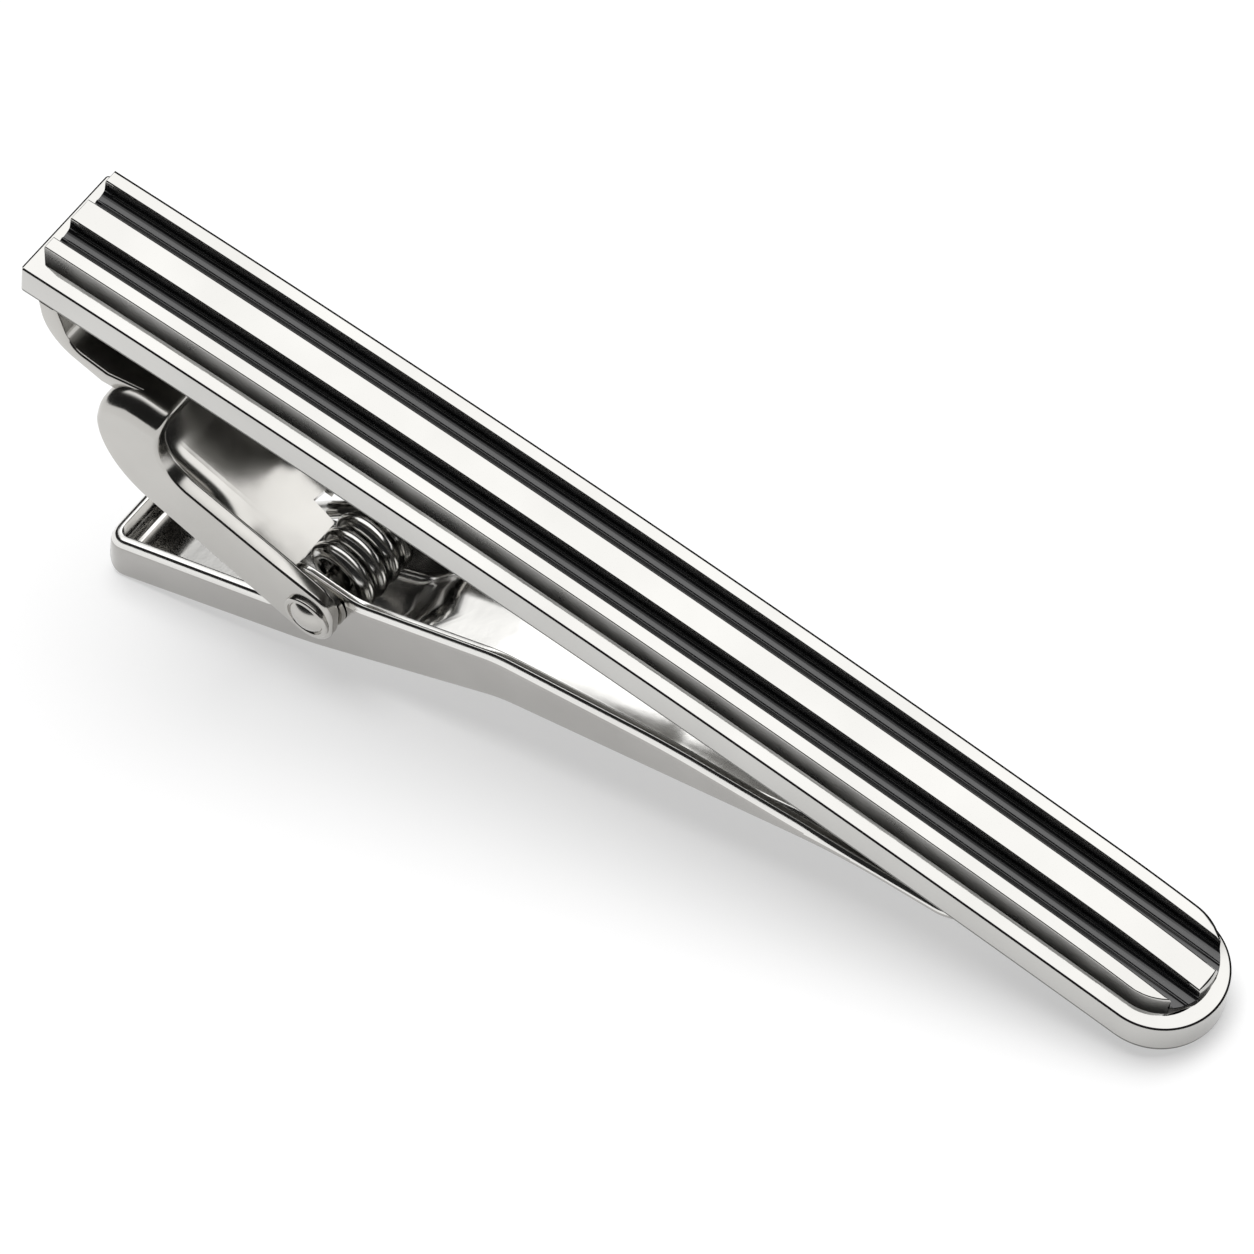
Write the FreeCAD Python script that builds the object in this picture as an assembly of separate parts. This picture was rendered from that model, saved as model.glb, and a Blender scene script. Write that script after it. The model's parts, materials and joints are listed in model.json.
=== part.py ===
import FreeCAD, Part
import math
import os

# A spring tie clip. An arched bar carries a ridged, enamelled face plate on its front and a hinge
# bracket under its square end. A sprung lever turns on a riveted pin between the bracket's ears,
# and its jaw closes on the back of the bar.
# Lengths are millimetres. The clip is drawn with X along the bar from its square end to its round
# tip, Y across it and Z out of its face, with z = 0 at the ends of the bar's face. It is then laid
# down on its tail and its tip, which is how it rests on a table.

# Bar
bar_length = 58.0
bar_width = 5.75
bar_thickness = 2.0
bar_arch_rise = 0.92
bar_corner_radius = 0.4
bar_top_edge_radius = 0.16
bar_bottom_edge_radius = 0.35

# Ridged face plate and the enamel in its grooves
rim_width = 0.54
plate_height = 1.68
plate_corner_radius = 0.15
plate_top_edge_radius = 0.2
centre_ridge_width = 1.21
groove_width = 1.09
groove_depth = 1.0
groove_edge_chamfer = 0.07
enamel_thickness = 0.2
enamel_edge_depth = 0.4
enamel_edge_width = 0.25

# Hinge pin, from the square end and below the ends of the face
pin_from_end = 15.7
pin_depth = 10.45
pin_radius = 0.6
pin_head_radius = 1.1
pin_head_edge = 0.2
pin_head_height = 0.45
rivet_clearance = 0.01
pivot_clearance = 0.04

# Hinge bracket
ear_thickness = 0.7
ear_half_width = 1.7
ear_front_reach = 1.15
ear_corner_radius = 1.3
ear_upper_slope_deg = -12.0
ear_lower_slope_deg = -15.0
ear_edge_radius = 0.25
web_depth = 3.85
web_thickness = 0.8
scoop_back = 4.5
scoop_back_wall = 0.75
scoop_mouth = 7.65
scoop_mouth_offset = 0.15
scoop_floor = 0.7
scoop_floor_setback = 3.4
scoop_shoulder_radius = 1.9
scoop_heel_share = 0.867
scoop_mouth_radius_share = 0.65
scoop_bend_radius = 1.1
scoop_inner_radius = 1.2
scoop_dish_radius = 1.1
tongue_setback = 2.1
tongue_clearance = 0.25
foot_from_end = 0.9
foot_length = 0.9
neck_outer_x = 1.4
neck_outer_depth = 3.9
neck_outer_radius = 2.4
neck_inner_x = 2.6
neck_inner_depth = 3.55
neck_inner_radius = 1.2
neck_thickness = 1.2
neck_edge_radius = 0.12

# Clip lever
lever_width = 5.0
lever_wall = 0.5
lever_floor = 0.55
lever_end_wall = 0.6
lever_edge_radius = 0.25
lever_inner_radius = 0.3
lever_tail_reach = 11.3
lever_tail_drop = 9.8
lever_tail_height = 2.65
lever_tail_corner_radius = 0.9
lever_tail_lip_radius = 0.65
lever_tail_taper = 0.25
lever_bend_ahead = 0.5
lever_bend_drop = 4.3
lever_bend_radius = 25.0
lever_belly_shares = (0.274, 0.18)
lever_belly_radius = 7.0
lever_jaw_bend_shares = (0.787, 0.828)
lever_jaw_bend_radius = 25.0
lever_tip_setback = 9.5
lever_tip_thickness = 0.62
lever_tip_edge_radius = 0.3
lever_shoulder_shares = (0.262, 0.513)
lever_shoulder_radius = 6.0
lever_rim_bend_shares = (0.521, 0.755)
lever_rim_bend_radius = 30.0
lever_trough_share = 0.9
lever_nose_share = 0.6
lug_height = 1.0
lug_front_reach = 1.5
lug_front_radius = 2.5
lug_back_reach = 1.8
lug_back_offset = 0.5
lug_back_radius = 1.2
lug_root_radius = 0.8
jaw_gap = 0.08

# Washers and torsion spring
washer_thickness = 0.2
washer_radius = 1.25
washer_clearance = 0.05
wire_diameter = 0.46
coil_radius = 1.35
coil_pitch = 0.94
coil_whole_turns = 3
spring_seat_gap = 0.08
upper_leg_length = 5.2
lower_leg_reach = 7.7

# Cutting allowance, and the shortest edge that an outline keeps
overrun = 1.0
shortest_edge = 0.0001

across = FreeCAD.Vector(0, 1, 0)
arch_radius = (bar_length ** 2 / 4 + bar_arch_rise ** 2) / (2 * bar_arch_rise)
arch_centre = FreeCAD.Vector(bar_length / 2, 0, bar_arch_rise - arch_radius)
arch_half_angle = math.degrees(math.asin((bar_length / 2 + overrun) / (arch_radius - bar_thickness)))
groove_offset = (centre_ridge_width + groove_width) / 2
pin_height = -pin_depth
bracket_width = lever_width + 2 * (washer_thickness + 2 * washer_clearance + ear_thickness)
ear_inner = bracket_width / 2 - ear_thickness
lever_inner = lever_width / 2 - lever_wall
tongue_near = lever_inner - tongue_clearance
tongue_far = tongue_near - wire_diameter - tongue_clearance


def bar_back(x):
    """height of the bar's arched back at a distance x from the square end"""
    return arch_centre.z + math.sqrt((arch_radius - bar_thickness) ** 2 - (x - arch_centre.x) ** 2)


def ear_upper(x):
    """height of the ear's upper edge line, half the ear's width from the pin"""
    slope = math.radians(ear_upper_slope_deg)
    return pin_height + ear_half_width / math.cos(slope) + math.tan(slope) * (x - pin_from_end)


def ear_lower(x):
    """height of the ear's lower edge line, half the ear's width from the pin"""
    slope = math.radians(ear_lower_slope_deg)
    return pin_height - ear_half_width / math.cos(slope) + math.tan(slope) * (x - pin_from_end)


def rounded_outline(corners):
    """closed wire in the XZ plane through (x, z, radius) corners, each turned by a tangent arc"""
    points = [FreeCAD.Vector(x, 0, z) for x, z, radius in corners]
    radii = [radius for x, z, radius in corners]
    count = len(points)
    starts = []
    middles = []
    ends = []
    for i in range(count):
        back = (points[i - 1] - points[i]).normalize()
        ahead = (points[(i + 1) % count] - points[i]).normalize()
        half = back.getAngle(ahead) / 2
        inward = (back + ahead).normalize()
        starts.append(points[i] + back * (radii[i] / math.tan(half)))
        ends.append(points[i] + ahead * (radii[i] / math.tan(half)))
        middles.append(points[i] + inward * (radii[i] / math.sin(half) - radii[i]))
    edges = []
    for i in range(count):
        if radii[i] > 0:
            edges.append(Part.Arc(starts[i], middles[i], ends[i]).toShape())
        following = starts[(i + 1) % count]
        if (following - ends[i]).Length > shortest_edge:
            edges.append(Part.LineSegment(ends[i], following).toShape())
    return Part.Wire(edges)


def slab(outline, half_width):
    """an XZ outline carried across the clip, half_width to each side"""
    face = Part.Face(outline)
    face.translate(-across * half_width)
    return face.extrude(across * (2 * half_width))


def cylinder_across(radius, low, high):
    """a cylinder on the pin's axis from y = low to y = high"""
    return Part.makeCylinder(radius, high - low, FreeCAD.Vector(pin_from_end, low, pin_height), across)


def section_face(edges):
    """a face in the YZ plane at the middle of the bar"""
    return Part.Face(Part.Wire(edges))


def arched(section):
    """a cross-section at mid-length carried along the bar's arch"""
    section.rotate(arch_centre, across, -arch_half_angle)
    return section.revolve(arch_centre, across, 2 * arch_half_angle)


def mid_point(y, z):
    """a point of a cross-section at mid-length"""
    return FreeCAD.Vector(bar_length / 2, y, z)


def arched_layer(low, high):
    """a layer of the bar between two heights at mid-length, wider than the bar"""
    half = bar_width / 2 + overrun
    corners = [(-half, low), (half, low), (half, high), (-half, high), (-half, low)]
    return arched(section_face([Part.makePolygon([mid_point(y, z) for y, z in corners])]))


def plan_prism(margin, corner_radius):
    """the bar's plan, drawn in by a margin: square with small corners at one end, round at the other"""
    half = bar_width / 2 - margin
    round_x = bar_length - bar_width / 2
    inset = corner_radius * (1 - math.sqrt(0.5))
    low = -bar_thickness - overrun
    high = bar_arch_rise + plate_height + overrun
    start = margin + corner_radius
    straight = half - corner_radius

    def place(x, y):
        return FreeCAD.Vector(x, y, low)

    edges = [
        Part.LineSegment(place(start, -half), place(round_x, -half)),
        Part.Arc(place(round_x, -half), place(round_x + half, 0), place(round_x, half)),
        Part.LineSegment(place(round_x, half), place(start, half)),
        Part.Arc(place(start, half), place(margin + inset, half - inset), place(margin, straight)),
        Part.LineSegment(place(margin, straight), place(margin, -straight)),
        Part.Arc(place(margin, -straight), place(margin + inset, inset - half), place(start, -half)),
    ]
    return Part.Face(Part.Wire([edge.toShape() for edge in edges])).extrude(FreeCAD.Vector(0, 0, high - low))


def top_face(solid):
    """the face that lies highest"""
    return max(solid.Faces, key=lambda face: face.CenterOfMass.z)


def bottom_face(solid):
    """the face that lies lowest"""
    return min(solid.Faces, key=lambda face: face.CenterOfMass.z)


def make_bar():
    """solid arched bar with its edges broken by small radii"""
    layer = arched_layer(bar_arch_rise - bar_thickness, bar_arch_rise)
    bar = layer.common(plan_prism(0, bar_corner_radius)).Solids[0]
    bar = bar.makeFillet(bar_top_edge_radius, top_face(bar).OuterWire.Edges)
    return bar.makeFillet(bar_bottom_edge_radius, bottom_face(bar).OuterWire.Edges)


def groove_points(y, depth_below_face):
    """a point of a groove's section, measured from its middle and from the plate's face"""
    return mid_point(y, bar_arch_rise + plate_height - depth_below_face)


def make_groove():
    """cutter for a square groove with chamfered lips, on the bar's middle line"""
    half = groove_width / 2
    lip = half + groove_edge_chamfer + overrun
    return arched(section_face([Part.makePolygon([
        groove_points(half, groove_depth),
        groove_points(half, groove_edge_chamfer),
        groove_points(lip, -overrun),
        groove_points(-lip, -overrun),
        groove_points(-half, groove_edge_chamfer),
        groove_points(-half, groove_depth),
        groove_points(half, groove_depth),
    ])]))


def make_plate():
    """raised plate with rounded outer edges and a groove each side of its middle ridge"""
    layer = arched_layer(bar_arch_rise, bar_arch_rise + plate_height)
    plate = layer.common(plan_prism(rim_width, plate_corner_radius)).Solids[0]
    plate = plate.makeFillet(plate_top_edge_radius, top_face(plate).OuterWire.Edges)
    for side in (-1, 1):
        groove = make_groove()
        groove.translate(across * (side * groove_offset))
        plate = plate.cut(groove)
    return plate.Solids[0]


def make_enamel(side):
    """enamel bed of one groove, its edges drawn up the groove's walls"""
    half = groove_width / 2
    flat = half - enamel_edge_width
    floor = groove_depth - enamel_thickness
    strip = arched(section_face([Part.makePolygon([
        groove_points(-half, groove_depth),
        groove_points(half, groove_depth),
        groove_points(half, enamel_edge_depth),
        groove_points(flat, floor),
        groove_points(-flat, floor),
        groove_points(-half, enamel_edge_depth),
        groove_points(-half, groove_depth),
    ])]))
    strip.translate(across * (side * groove_offset))
    return strip.common(plan_prism(rim_width, plate_corner_radius)).Solids[0]


def heel_radius():
    """radius of the scoop's heel, from the length of its back below the shoulder"""
    room = -web_depth - ear_lower(scoop_back) - scoop_shoulder_radius
    half_corner = math.radians(90 - ear_lower_slope_deg) / 2
    return scoop_heel_share * room * math.tan(half_corner)


def scoop_corners():
    """side outline of the bracket's scoop: web, back, floor line, round ear end and mouth"""
    front = pin_from_end + ear_front_reach
    throat = scoop_mouth + scoop_mouth_offset
    mouth_radius = scoop_mouth_radius_share * (-web_depth - ear_upper(throat))
    return [
        (scoop_mouth, -web_depth, 0),
        (scoop_back, -web_depth, scoop_shoulder_radius),
        (scoop_back, ear_lower(scoop_back), heel_radius()),
        (front, ear_lower(front), ear_corner_radius),
        (front, ear_upper(front), ear_corner_radius),
        (throat, ear_upper(throat), mouth_radius),
    ]


def long_edges(solid, wanted):
    """the edges of a solid whose middle point passes a test"""
    return [edge for edge in solid.Edges if wanted(edge.valueAt((edge.FirstParameter + edge.LastParameter) / 2))]


def gap_box(left, right, low_y, high_y):
    """a box that clears a stretch of the scoop right through its floor"""
    low = ear_lower(right) - overrun
    return Part.makeBox(right - left, high_y - low_y, -low, FreeCAD.Vector(left, low_y, low))


def make_scoop_cavity():
    """the hollow of the scoop: under the web, over the dished floor, and right through round the spring, where
    a tongue of the floor reaches in beside the spring's lower leg"""
    left = scoop_back + scoop_back_wall
    right = pin_from_end + ear_front_reach + overrun
    ceiling = -web_depth - web_thickness
    floor_end = pin_from_end - scoop_floor_setback
    rise = scoop_floor / math.cos(math.radians(ear_lower_slope_deg))
    hollow = slab(rounded_outline([
        (left, ceiling, scoop_inner_radius),
        (left, ear_lower(left) + rise, heel_radius() - scoop_back_wall),
        (right, ear_lower(right) + rise, 0),
        (right, ceiling, 0),
    ]), ear_inner)
    bends = long_edges(hollow, lambda p: abs(p.y) > 0 and p.x < right - shortest_edge)
    hollow = hollow.makeFillet(scoop_dish_radius, bends)
    return hollow.fuse([
        gap_box(floor_end, right, -ear_inner, -tongue_near),
        gap_box(floor_end, right, tongue_far, ear_inner),
        gap_box(pin_from_end - tongue_setback, right, -ear_inner, ear_inner),
    ])


def make_neck():
    """swan neck from the foot on the bar's back round to the scoop's web"""
    foot_end = foot_from_end + foot_length
    inside = scoop_back + scoop_shoulder_radius
    neck = slab(rounded_outline([
        (foot_from_end, bar_back(foot_from_end), 0),
        (neck_outer_x, -neck_outer_depth, neck_outer_radius),
        (inside, -web_depth - neck_thickness, 0),
        (inside, -web_depth, 0),
        (neck_inner_x, -neck_inner_depth, neck_inner_radius),
        (foot_end, bar_back(foot_end), 0),
    ]), bar_width / 2)
    free = long_edges(neck, lambda p: abs(p.y) > 0 and p.x < inside and p.z < bar_back(0) - neck_edge_radius)
    return neck.makeFillet(neck_edge_radius, free)


def make_scoop_block():
    """block with the scoop's round shoulder, whose upper and back edges have the bend of the formed sheet"""
    half = bracket_width / 2
    right = pin_from_end + ear_front_reach + overrun
    low = ear_lower(right) - overrun
    block = slab(rounded_outline([
        (right, -web_depth, 0),
        (scoop_back, -web_depth, scoop_shoulder_radius),
        (scoop_back, low, 0),
        (right, low, 0),
    ]), half)

    def bend(p):
        on_side = abs(abs(p.y) - half) < shortest_edge
        return on_side and p.x < right - shortest_edge and p.z > low + shortest_edge

    return block.makeFillet(scoop_bend_radius, long_edges(block, bend))


def make_bracket():
    """one formed piece: swan neck, web, dished floor and two ears drilled for the pin"""
    half = bracket_width / 2
    scoop = slab(rounded_outline(scoop_corners()), half)
    sides = long_edges(scoop, lambda p: abs(abs(p.y) - half) < shortest_edge)
    scoop = scoop.makeFillet(ear_edge_radius, sides).common(make_scoop_block())
    bracket = scoop.fuse(make_neck()).cut(make_scoop_cavity())
    bracket = bracket.cut(cylinder_across(pin_radius + rivet_clearance, -half - overrun, half + overrun))
    return bracket.removeSplitter().Solids[0]


def tail_line(x):
    """height of the underside of the lever's tail"""
    bend_x = pin_from_end - lever_bend_ahead
    bend_z = pin_height - lever_bend_drop
    tail_x = pin_from_end - lever_tail_reach
    tail_z = pin_height - lever_tail_drop
    return tail_z + (bend_z - tail_z) * (x - tail_x) / (bend_x - tail_x)


def jaw_tip():
    """the jaw's upper tip, just clear of the bar's back"""
    tip_x = bar_length - lever_tip_setback
    return tip_x, bar_back(tip_x) - jaw_gap


def jaw_point(shares):
    """a point of the jaw, as shares of its reach along the bar and of its rise from the pin"""
    tip_x, tip_z = jaw_tip()
    along_share, rise_share = shares
    return pin_from_end + along_share * (tip_x - pin_from_end), pin_height + rise_share * (tip_z - pin_height)


def lever_underside():
    """corners of the lever's underside from tail to tip"""
    tip_x, tip_z = jaw_tip()
    return [
        (pin_from_end - lever_tail_reach, pin_height - lever_tail_drop, lever_tail_corner_radius),
        (pin_from_end - lever_bend_ahead, pin_height - lever_bend_drop, lever_bend_radius),
        (*jaw_point(lever_belly_shares), lever_belly_radius),
        (*jaw_point(lever_jaw_bend_shares), lever_jaw_bend_radius),
        (tip_x, tip_z - lever_tip_thickness, lever_tip_edge_radius),
    ]


def lever_rim():
    """corners of the lever's rim from tip to tail, rising into a lug over the pin"""
    tip_x, tip_z = jaw_tip()
    tail_x = pin_from_end - lever_tail_reach
    tail_top = pin_height - lever_tail_drop + lever_tail_height
    lug_x = pin_from_end - lug_back_reach
    root_x = lug_x - lug_back_offset
    root_z = tail_top + tail_line(root_x) - tail_line(tail_x) - lever_tail_taper
    return [
        (tip_x, tip_z, lever_tip_edge_radius),
        (*jaw_point(lever_rim_bend_shares), lever_rim_bend_radius),
        (*jaw_point(lever_shoulder_shares), lever_shoulder_radius),
        (pin_from_end + lug_front_reach, pin_height + lug_height, lug_front_radius),
        (lug_x, pin_height + lug_height, lug_back_radius),
        (root_x, root_z, lug_root_radius),
        (tail_x, tail_top, lever_tail_lip_radius),
    ]


def tip_prism():
    """the lever's plan, wider than the lever, with a broad round nose that trims the jaw's tip"""
    nose = lever_nose_share * lever_width
    round_x = jaw_tip()[0] - nose
    tail_x = pin_from_end - lever_tail_reach - overrun
    low = pin_height - lever_tail_drop - overrun

    def place(x, y):
        return FreeCAD.Vector(x, y, low)

    outline = Part.Wire([
        Part.makePolygon([place(round_x, nose), place(tail_x, nose), place(tail_x, -nose), place(round_x, -nose)]),
        Part.Arc(place(round_x, -nose), place(round_x + nose, 0), place(round_x, nose)).toShape(),
    ])
    return Part.Face(outline).extrude(FreeCAD.Vector(0, 0, -low))


def make_trough():
    """the hollow of the lever, whose floor follows the underside and runs out through the rim near the tip"""
    roof = bar_back(bar_length / 2)
    start = pin_from_end - lever_tail_reach + lever_end_wall
    floor = [(x, z + lever_floor, radius) for x, z, radius in lever_underside()[1:-1]]
    tip_x, tip_z = jaw_tip()
    bend_x, bend_z = jaw_point(lever_rim_bend_shares)
    end_x = pin_from_end + lever_trough_share * (tip_x - pin_from_end)
    end_z = bend_z + (tip_z - bend_z) * (end_x - bend_x) / (tip_x - bend_x)
    trough = slab(rounded_outline(
        [(start, tail_line(start) + lever_floor, lever_inner_radius)]
        + floor
        + [(end_x, end_z, 0), (end_x, roof, 0), (start, roof, 0)]
    ), lever_inner)
    floor_edges = long_edges(trough, lambda p: abs(p.y) > 0 and start < p.x < end_x and p.z < roof - shortest_edge)
    return trough.makeFillet(lever_inner_radius, floor_edges)


def make_lever():
    """open tray: tail, lugs on the pin and a jaw that runs out to a thin tip"""
    half = lever_width / 2
    body = slab(rounded_outline(lever_underside() + lever_rim()), half)
    sides = long_edges(body, lambda p: abs(abs(p.y) - half) < shortest_edge)
    body = body.makeFillet(lever_edge_radius, sides)
    body = body.common(tip_prism()).cut(make_trough())
    return body.cut(cylinder_across(pin_radius + pivot_clearance, -half - overrun, half + overrun)).Solids[0]


def make_pin():
    """rivet pin: a shank through both ears and a low domed head outside each"""
    half = bracket_width / 2
    crown = pin_head_height - pin_head_edge
    dome_radius = (pin_head_radius ** 2 + crown ** 2) / (2 * crown)
    half_spread = math.asin(pin_head_radius / dome_radius) / 2
    dome_drop = dome_radius * (1 - math.cos(half_spread))
    pin = cylinder_across(pin_radius, -half, half)
    profile = Part.Wire([
        Part.makePolygon([
            FreeCAD.Vector(0, pin_head_height, 0),
            FreeCAD.Vector(0, 0, 0),
            FreeCAD.Vector(pin_head_radius, 0, 0),
            FreeCAD.Vector(pin_head_radius, pin_head_edge, 0),
        ]),
        Part.Arc(
            FreeCAD.Vector(pin_head_radius, pin_head_edge, 0),
            FreeCAD.Vector(dome_radius * math.sin(half_spread), pin_head_height - dome_drop, 0),
            FreeCAD.Vector(0, pin_head_height, 0),
        ).toShape(),
    ])
    head = Part.Face(profile).revolve(FreeCAD.Vector(0, 0, 0), across, 360)
    for turn in (0, 180):
        placed = head.copy()
        placed.translate(FreeCAD.Vector(0, half, 0))
        placed.rotate(FreeCAD.Vector(0, 0, 0), FreeCAD.Vector(0, 0, 1), turn)
        placed.translate(FreeCAD.Vector(pin_from_end, 0, pin_height))
        pin = pin.fuse(placed)
    return pin.removeSplitter().Solids[0]


def make_washer(side):
    """flat washer on the pin between an ear and the lever"""
    low = lever_width / 2 + washer_clearance
    ring = cylinder_across(washer_radius, low, low + washer_thickness)
    ring = ring.cut(cylinder_across(pin_radius + pivot_clearance, low - overrun, low + overrun))
    if side < 0:
        ring = ring.mirror(FreeCAD.Vector(0, 0, 0), across)
    return ring.Solids[0]


def arc_from_apex(first, apex, last):
    """the circular arc from first to last whose end tangents meet at apex"""
    chord_middle = (first + last) / 2
    to_apex = apex - chord_middle
    half_chord = (last - first).Length / 2
    half_turn = math.atan2(to_apex.Length, half_chord)
    middle = chord_middle + to_apex.normalize() * (half_chord * math.tan(half_turn / 2))
    return Part.Arc(first, middle, last).toShape()


def biarc(first, first_way, last, last_way):
    """two tangent arcs between two points with given directions"""
    span = last - first
    ways = first_way + last_way
    bend = 2 * (first_way.dot(last_way) - 1)
    along = span.dot(ways)
    reach = (along - math.sqrt(along ** 2 - bend * span.dot(span))) / bend
    apex_one = first + first_way * reach
    apex_two = last - last_way * reach
    joint = (apex_one + apex_two) / 2
    return [arc_from_apex(first, apex_one, joint), arc_from_apex(joint, apex_two, last)]


def tangent_angle(x, z, turn):
    """angle on the coil of the point where a leg from (x, z) meets it, to one side or the other"""
    distance = math.hypot(x - pin_from_end, z - pin_height)
    bearing = math.atan2(z - pin_height, x - pin_from_end)
    return bearing + turn * math.acos(coil_radius / distance)


def spring_path():
    """centre line of the wire: upper leg, coil and lower leg, with the legs square to the pin"""
    wire_radius = wire_diameter / 2
    seat_x = pin_from_end - tongue_setback
    seat_z = ear_lower(seat_x) - wire_radius - spring_seat_gap
    lower_x = pin_from_end - lower_leg_reach
    slope = math.atan2(tail_line(lower_x) - tail_line(0), lower_x)
    lower_z = tail_line(lower_x) + lever_floor + (wire_radius + spring_seat_gap) / math.cos(slope)
    start = tangent_angle(seat_x, seat_z, 1)
    finish = tangent_angle(lower_x, lower_z, -1)
    turn = (finish - start) % (2 * math.pi) + 2 * math.pi * coil_whole_turns
    count = round(turn / math.pi)
    half_length = coil_pitch * turn / (2 * math.pi) / 2

    points = []
    ways = []
    for i in range(count + 1):
        share = i / count
        angle = start + turn * share
        climb = 0 if i in (0, count) else coil_pitch / (2 * math.pi * coil_radius)
        points.append(FreeCAD.Vector(
            pin_from_end + coil_radius * math.cos(angle),
            half_length * (2 * share - 1),
            pin_height + coil_radius * math.sin(angle),
        ))
        ways.append(FreeCAD.Vector(-math.sin(angle), climb, math.cos(angle)).normalize())

    seat = FreeCAD.Vector(seat_x, -half_length, seat_z)
    upper_end = points[0] + (seat - points[0]).normalize() * upper_leg_length
    lower_end = FreeCAD.Vector(lower_x, half_length, lower_z)
    edges = [Part.LineSegment(upper_end, points[0]).toShape()]
    for i in range(count):
        edges += biarc(points[i], ways[i], points[i + 1], ways[i + 1])
    edges.append(Part.LineSegment(points[-1], lower_end).toShape())
    return Part.Wire(edges)


def least_gap(path, samples):
    """smallest clear distance between stretches of the wire that are not neighbours along it"""
    points = path.discretize(Number=samples)
    step = path.Length / (samples - 1)
    apart = int(math.pi * coil_radius / step)
    nearest = min(
        (points[i] - points[j]).Length
        for i in range(samples)
        for j in range(i + apart, samples)
    )
    return nearest - wire_diameter


def make_spring():
    """one unbroken round wire swept along the spring's path"""
    path = spring_path()
    start = path.Edges[0].valueAt(path.Edges[0].FirstParameter)
    way = path.Edges[0].tangentAt(path.Edges[0].FirstParameter)
    ring = Part.Wire([Part.makeCircle(wire_diameter / 2, start, way)])
    print("spring: least gap between turns %.3f mm" % least_gap(path, 900))
    return path.makePipeShell([ring], True, False)


def rest_angle_deg():
    """tilt that brings the tail's rounded corner and the bar's tip to one level"""
    tail, after, before = lever_underside()[0], lever_underside()[1], lever_rim()[-1]
    corner = FreeCAD.Vector(tail[0], 0, tail[1])
    ahead = (FreeCAD.Vector(after[0], 0, after[1]) - corner).normalize()
    back = (FreeCAD.Vector(before[0], 0, before[1]) - corner).normalize()
    half = back.getAngle(ahead) / 2
    heel = corner + (back + ahead).normalize() * (tail[2] / math.sin(half))
    tip = FreeCAD.Vector(bar_length - bar_bottom_edge_radius, 0, bar_back(bar_length) + bar_bottom_edge_radius)
    span = tip - heel
    lean = math.asin((tail[2] - bar_bottom_edge_radius) / span.Length)
    return math.degrees(math.atan2(span.z, span.x) + lean)


def main():
    pieces = {
        "front_bar": make_bar(),
        "ridged_face_plate": make_plate(),
        "enamel_strip_near": make_enamel(-1),
        "enamel_strip_far": make_enamel(1),
        "hinge_bracket": make_bracket(),
        "clip_lever": make_lever(),
        "hinge_pin": make_pin(),
        "torsion_spring": make_spring(),
        "pivot_washer_near": make_washer(-1),
        "pivot_washer_far": make_washer(1),
    }
    tilt = rest_angle_deg()
    origin = FreeCAD.Vector(0, 0, 0)
    for shape in pieces.values():
        shape.rotate(origin, across, tilt)
    box = Part.makeCompound(list(pieces.values())).optimalBoundingBox(False, False)
    down = FreeCAD.Vector(-box.Center.x, -box.Center.y, -box.ZMin)
    os.makedirs("parts", exist_ok=True)
    for name, shape in pieces.items():
        shape.translate(down)
        shape.exportStep("parts/%s.step" % name)
        print("%s: volume %.3f mm3, valid %s" % (name, shape.Volume, shape.isValid()))
    pin = FreeCAD.Rotation(across, tilt).multVec(FreeCAD.Vector(pin_from_end, 0, pin_height)) + down
    print("tilt %.4f degrees, moved by x %.4f z %.4f mm" % (tilt, down.x, down.z))
    print("pin axis at x %.4f z %.4f mm" % (pin.x, pin.z))
    print("size %.3f x %.3f x %.3f mm" % (box.XLength, box.YLength, box.ZLength))


main()
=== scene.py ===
import json
import math

import bmesh
import bpy
import numpy as np
from mathutils import Matrix


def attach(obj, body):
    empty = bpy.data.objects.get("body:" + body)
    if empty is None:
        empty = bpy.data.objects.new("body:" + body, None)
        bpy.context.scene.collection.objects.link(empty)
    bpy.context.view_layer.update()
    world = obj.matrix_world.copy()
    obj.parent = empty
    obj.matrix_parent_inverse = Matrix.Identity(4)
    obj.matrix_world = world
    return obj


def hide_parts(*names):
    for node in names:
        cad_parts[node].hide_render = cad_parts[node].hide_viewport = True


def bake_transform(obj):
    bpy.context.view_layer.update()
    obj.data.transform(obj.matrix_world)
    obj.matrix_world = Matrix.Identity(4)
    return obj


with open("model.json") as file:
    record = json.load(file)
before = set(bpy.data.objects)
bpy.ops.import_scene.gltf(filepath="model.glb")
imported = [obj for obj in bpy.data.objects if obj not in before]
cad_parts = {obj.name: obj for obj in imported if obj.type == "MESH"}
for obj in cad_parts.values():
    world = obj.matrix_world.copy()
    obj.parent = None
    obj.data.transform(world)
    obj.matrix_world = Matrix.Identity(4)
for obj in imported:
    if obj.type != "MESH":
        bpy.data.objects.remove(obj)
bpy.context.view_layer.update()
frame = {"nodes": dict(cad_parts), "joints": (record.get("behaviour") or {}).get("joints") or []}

# A spring tie clip: polished bar with a ridged, black enamelled face, a hinge bracket and a sprung tray
# lever. Shapes are drawn in millimetres as the clip is made, with X along the bar from its square end,
# Y across it and Z out of its face, and are then laid down on the clip's tail and tip.

MM = 0.001
HINGE = np.array(frame["joints"][0]["pos_m"])
TILT = math.radians(18.689)

# Meshes: places within a gap become one vertex, and edges that turn by more than the crease stay sharp.
# Steps are counted round a plan's nose, each of its corners and its square end. Further down, rows are shares
# between two edges, and a facing is a range of how far a face's normal rises out of the clip's face.
WELD_GAP = 0.0004
FACET_GAP = 0.0005
CREASE = math.radians(35)
NOSE_STEPS = 65
CORNER_STEPS = 9
END_STEPS = 17

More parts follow.
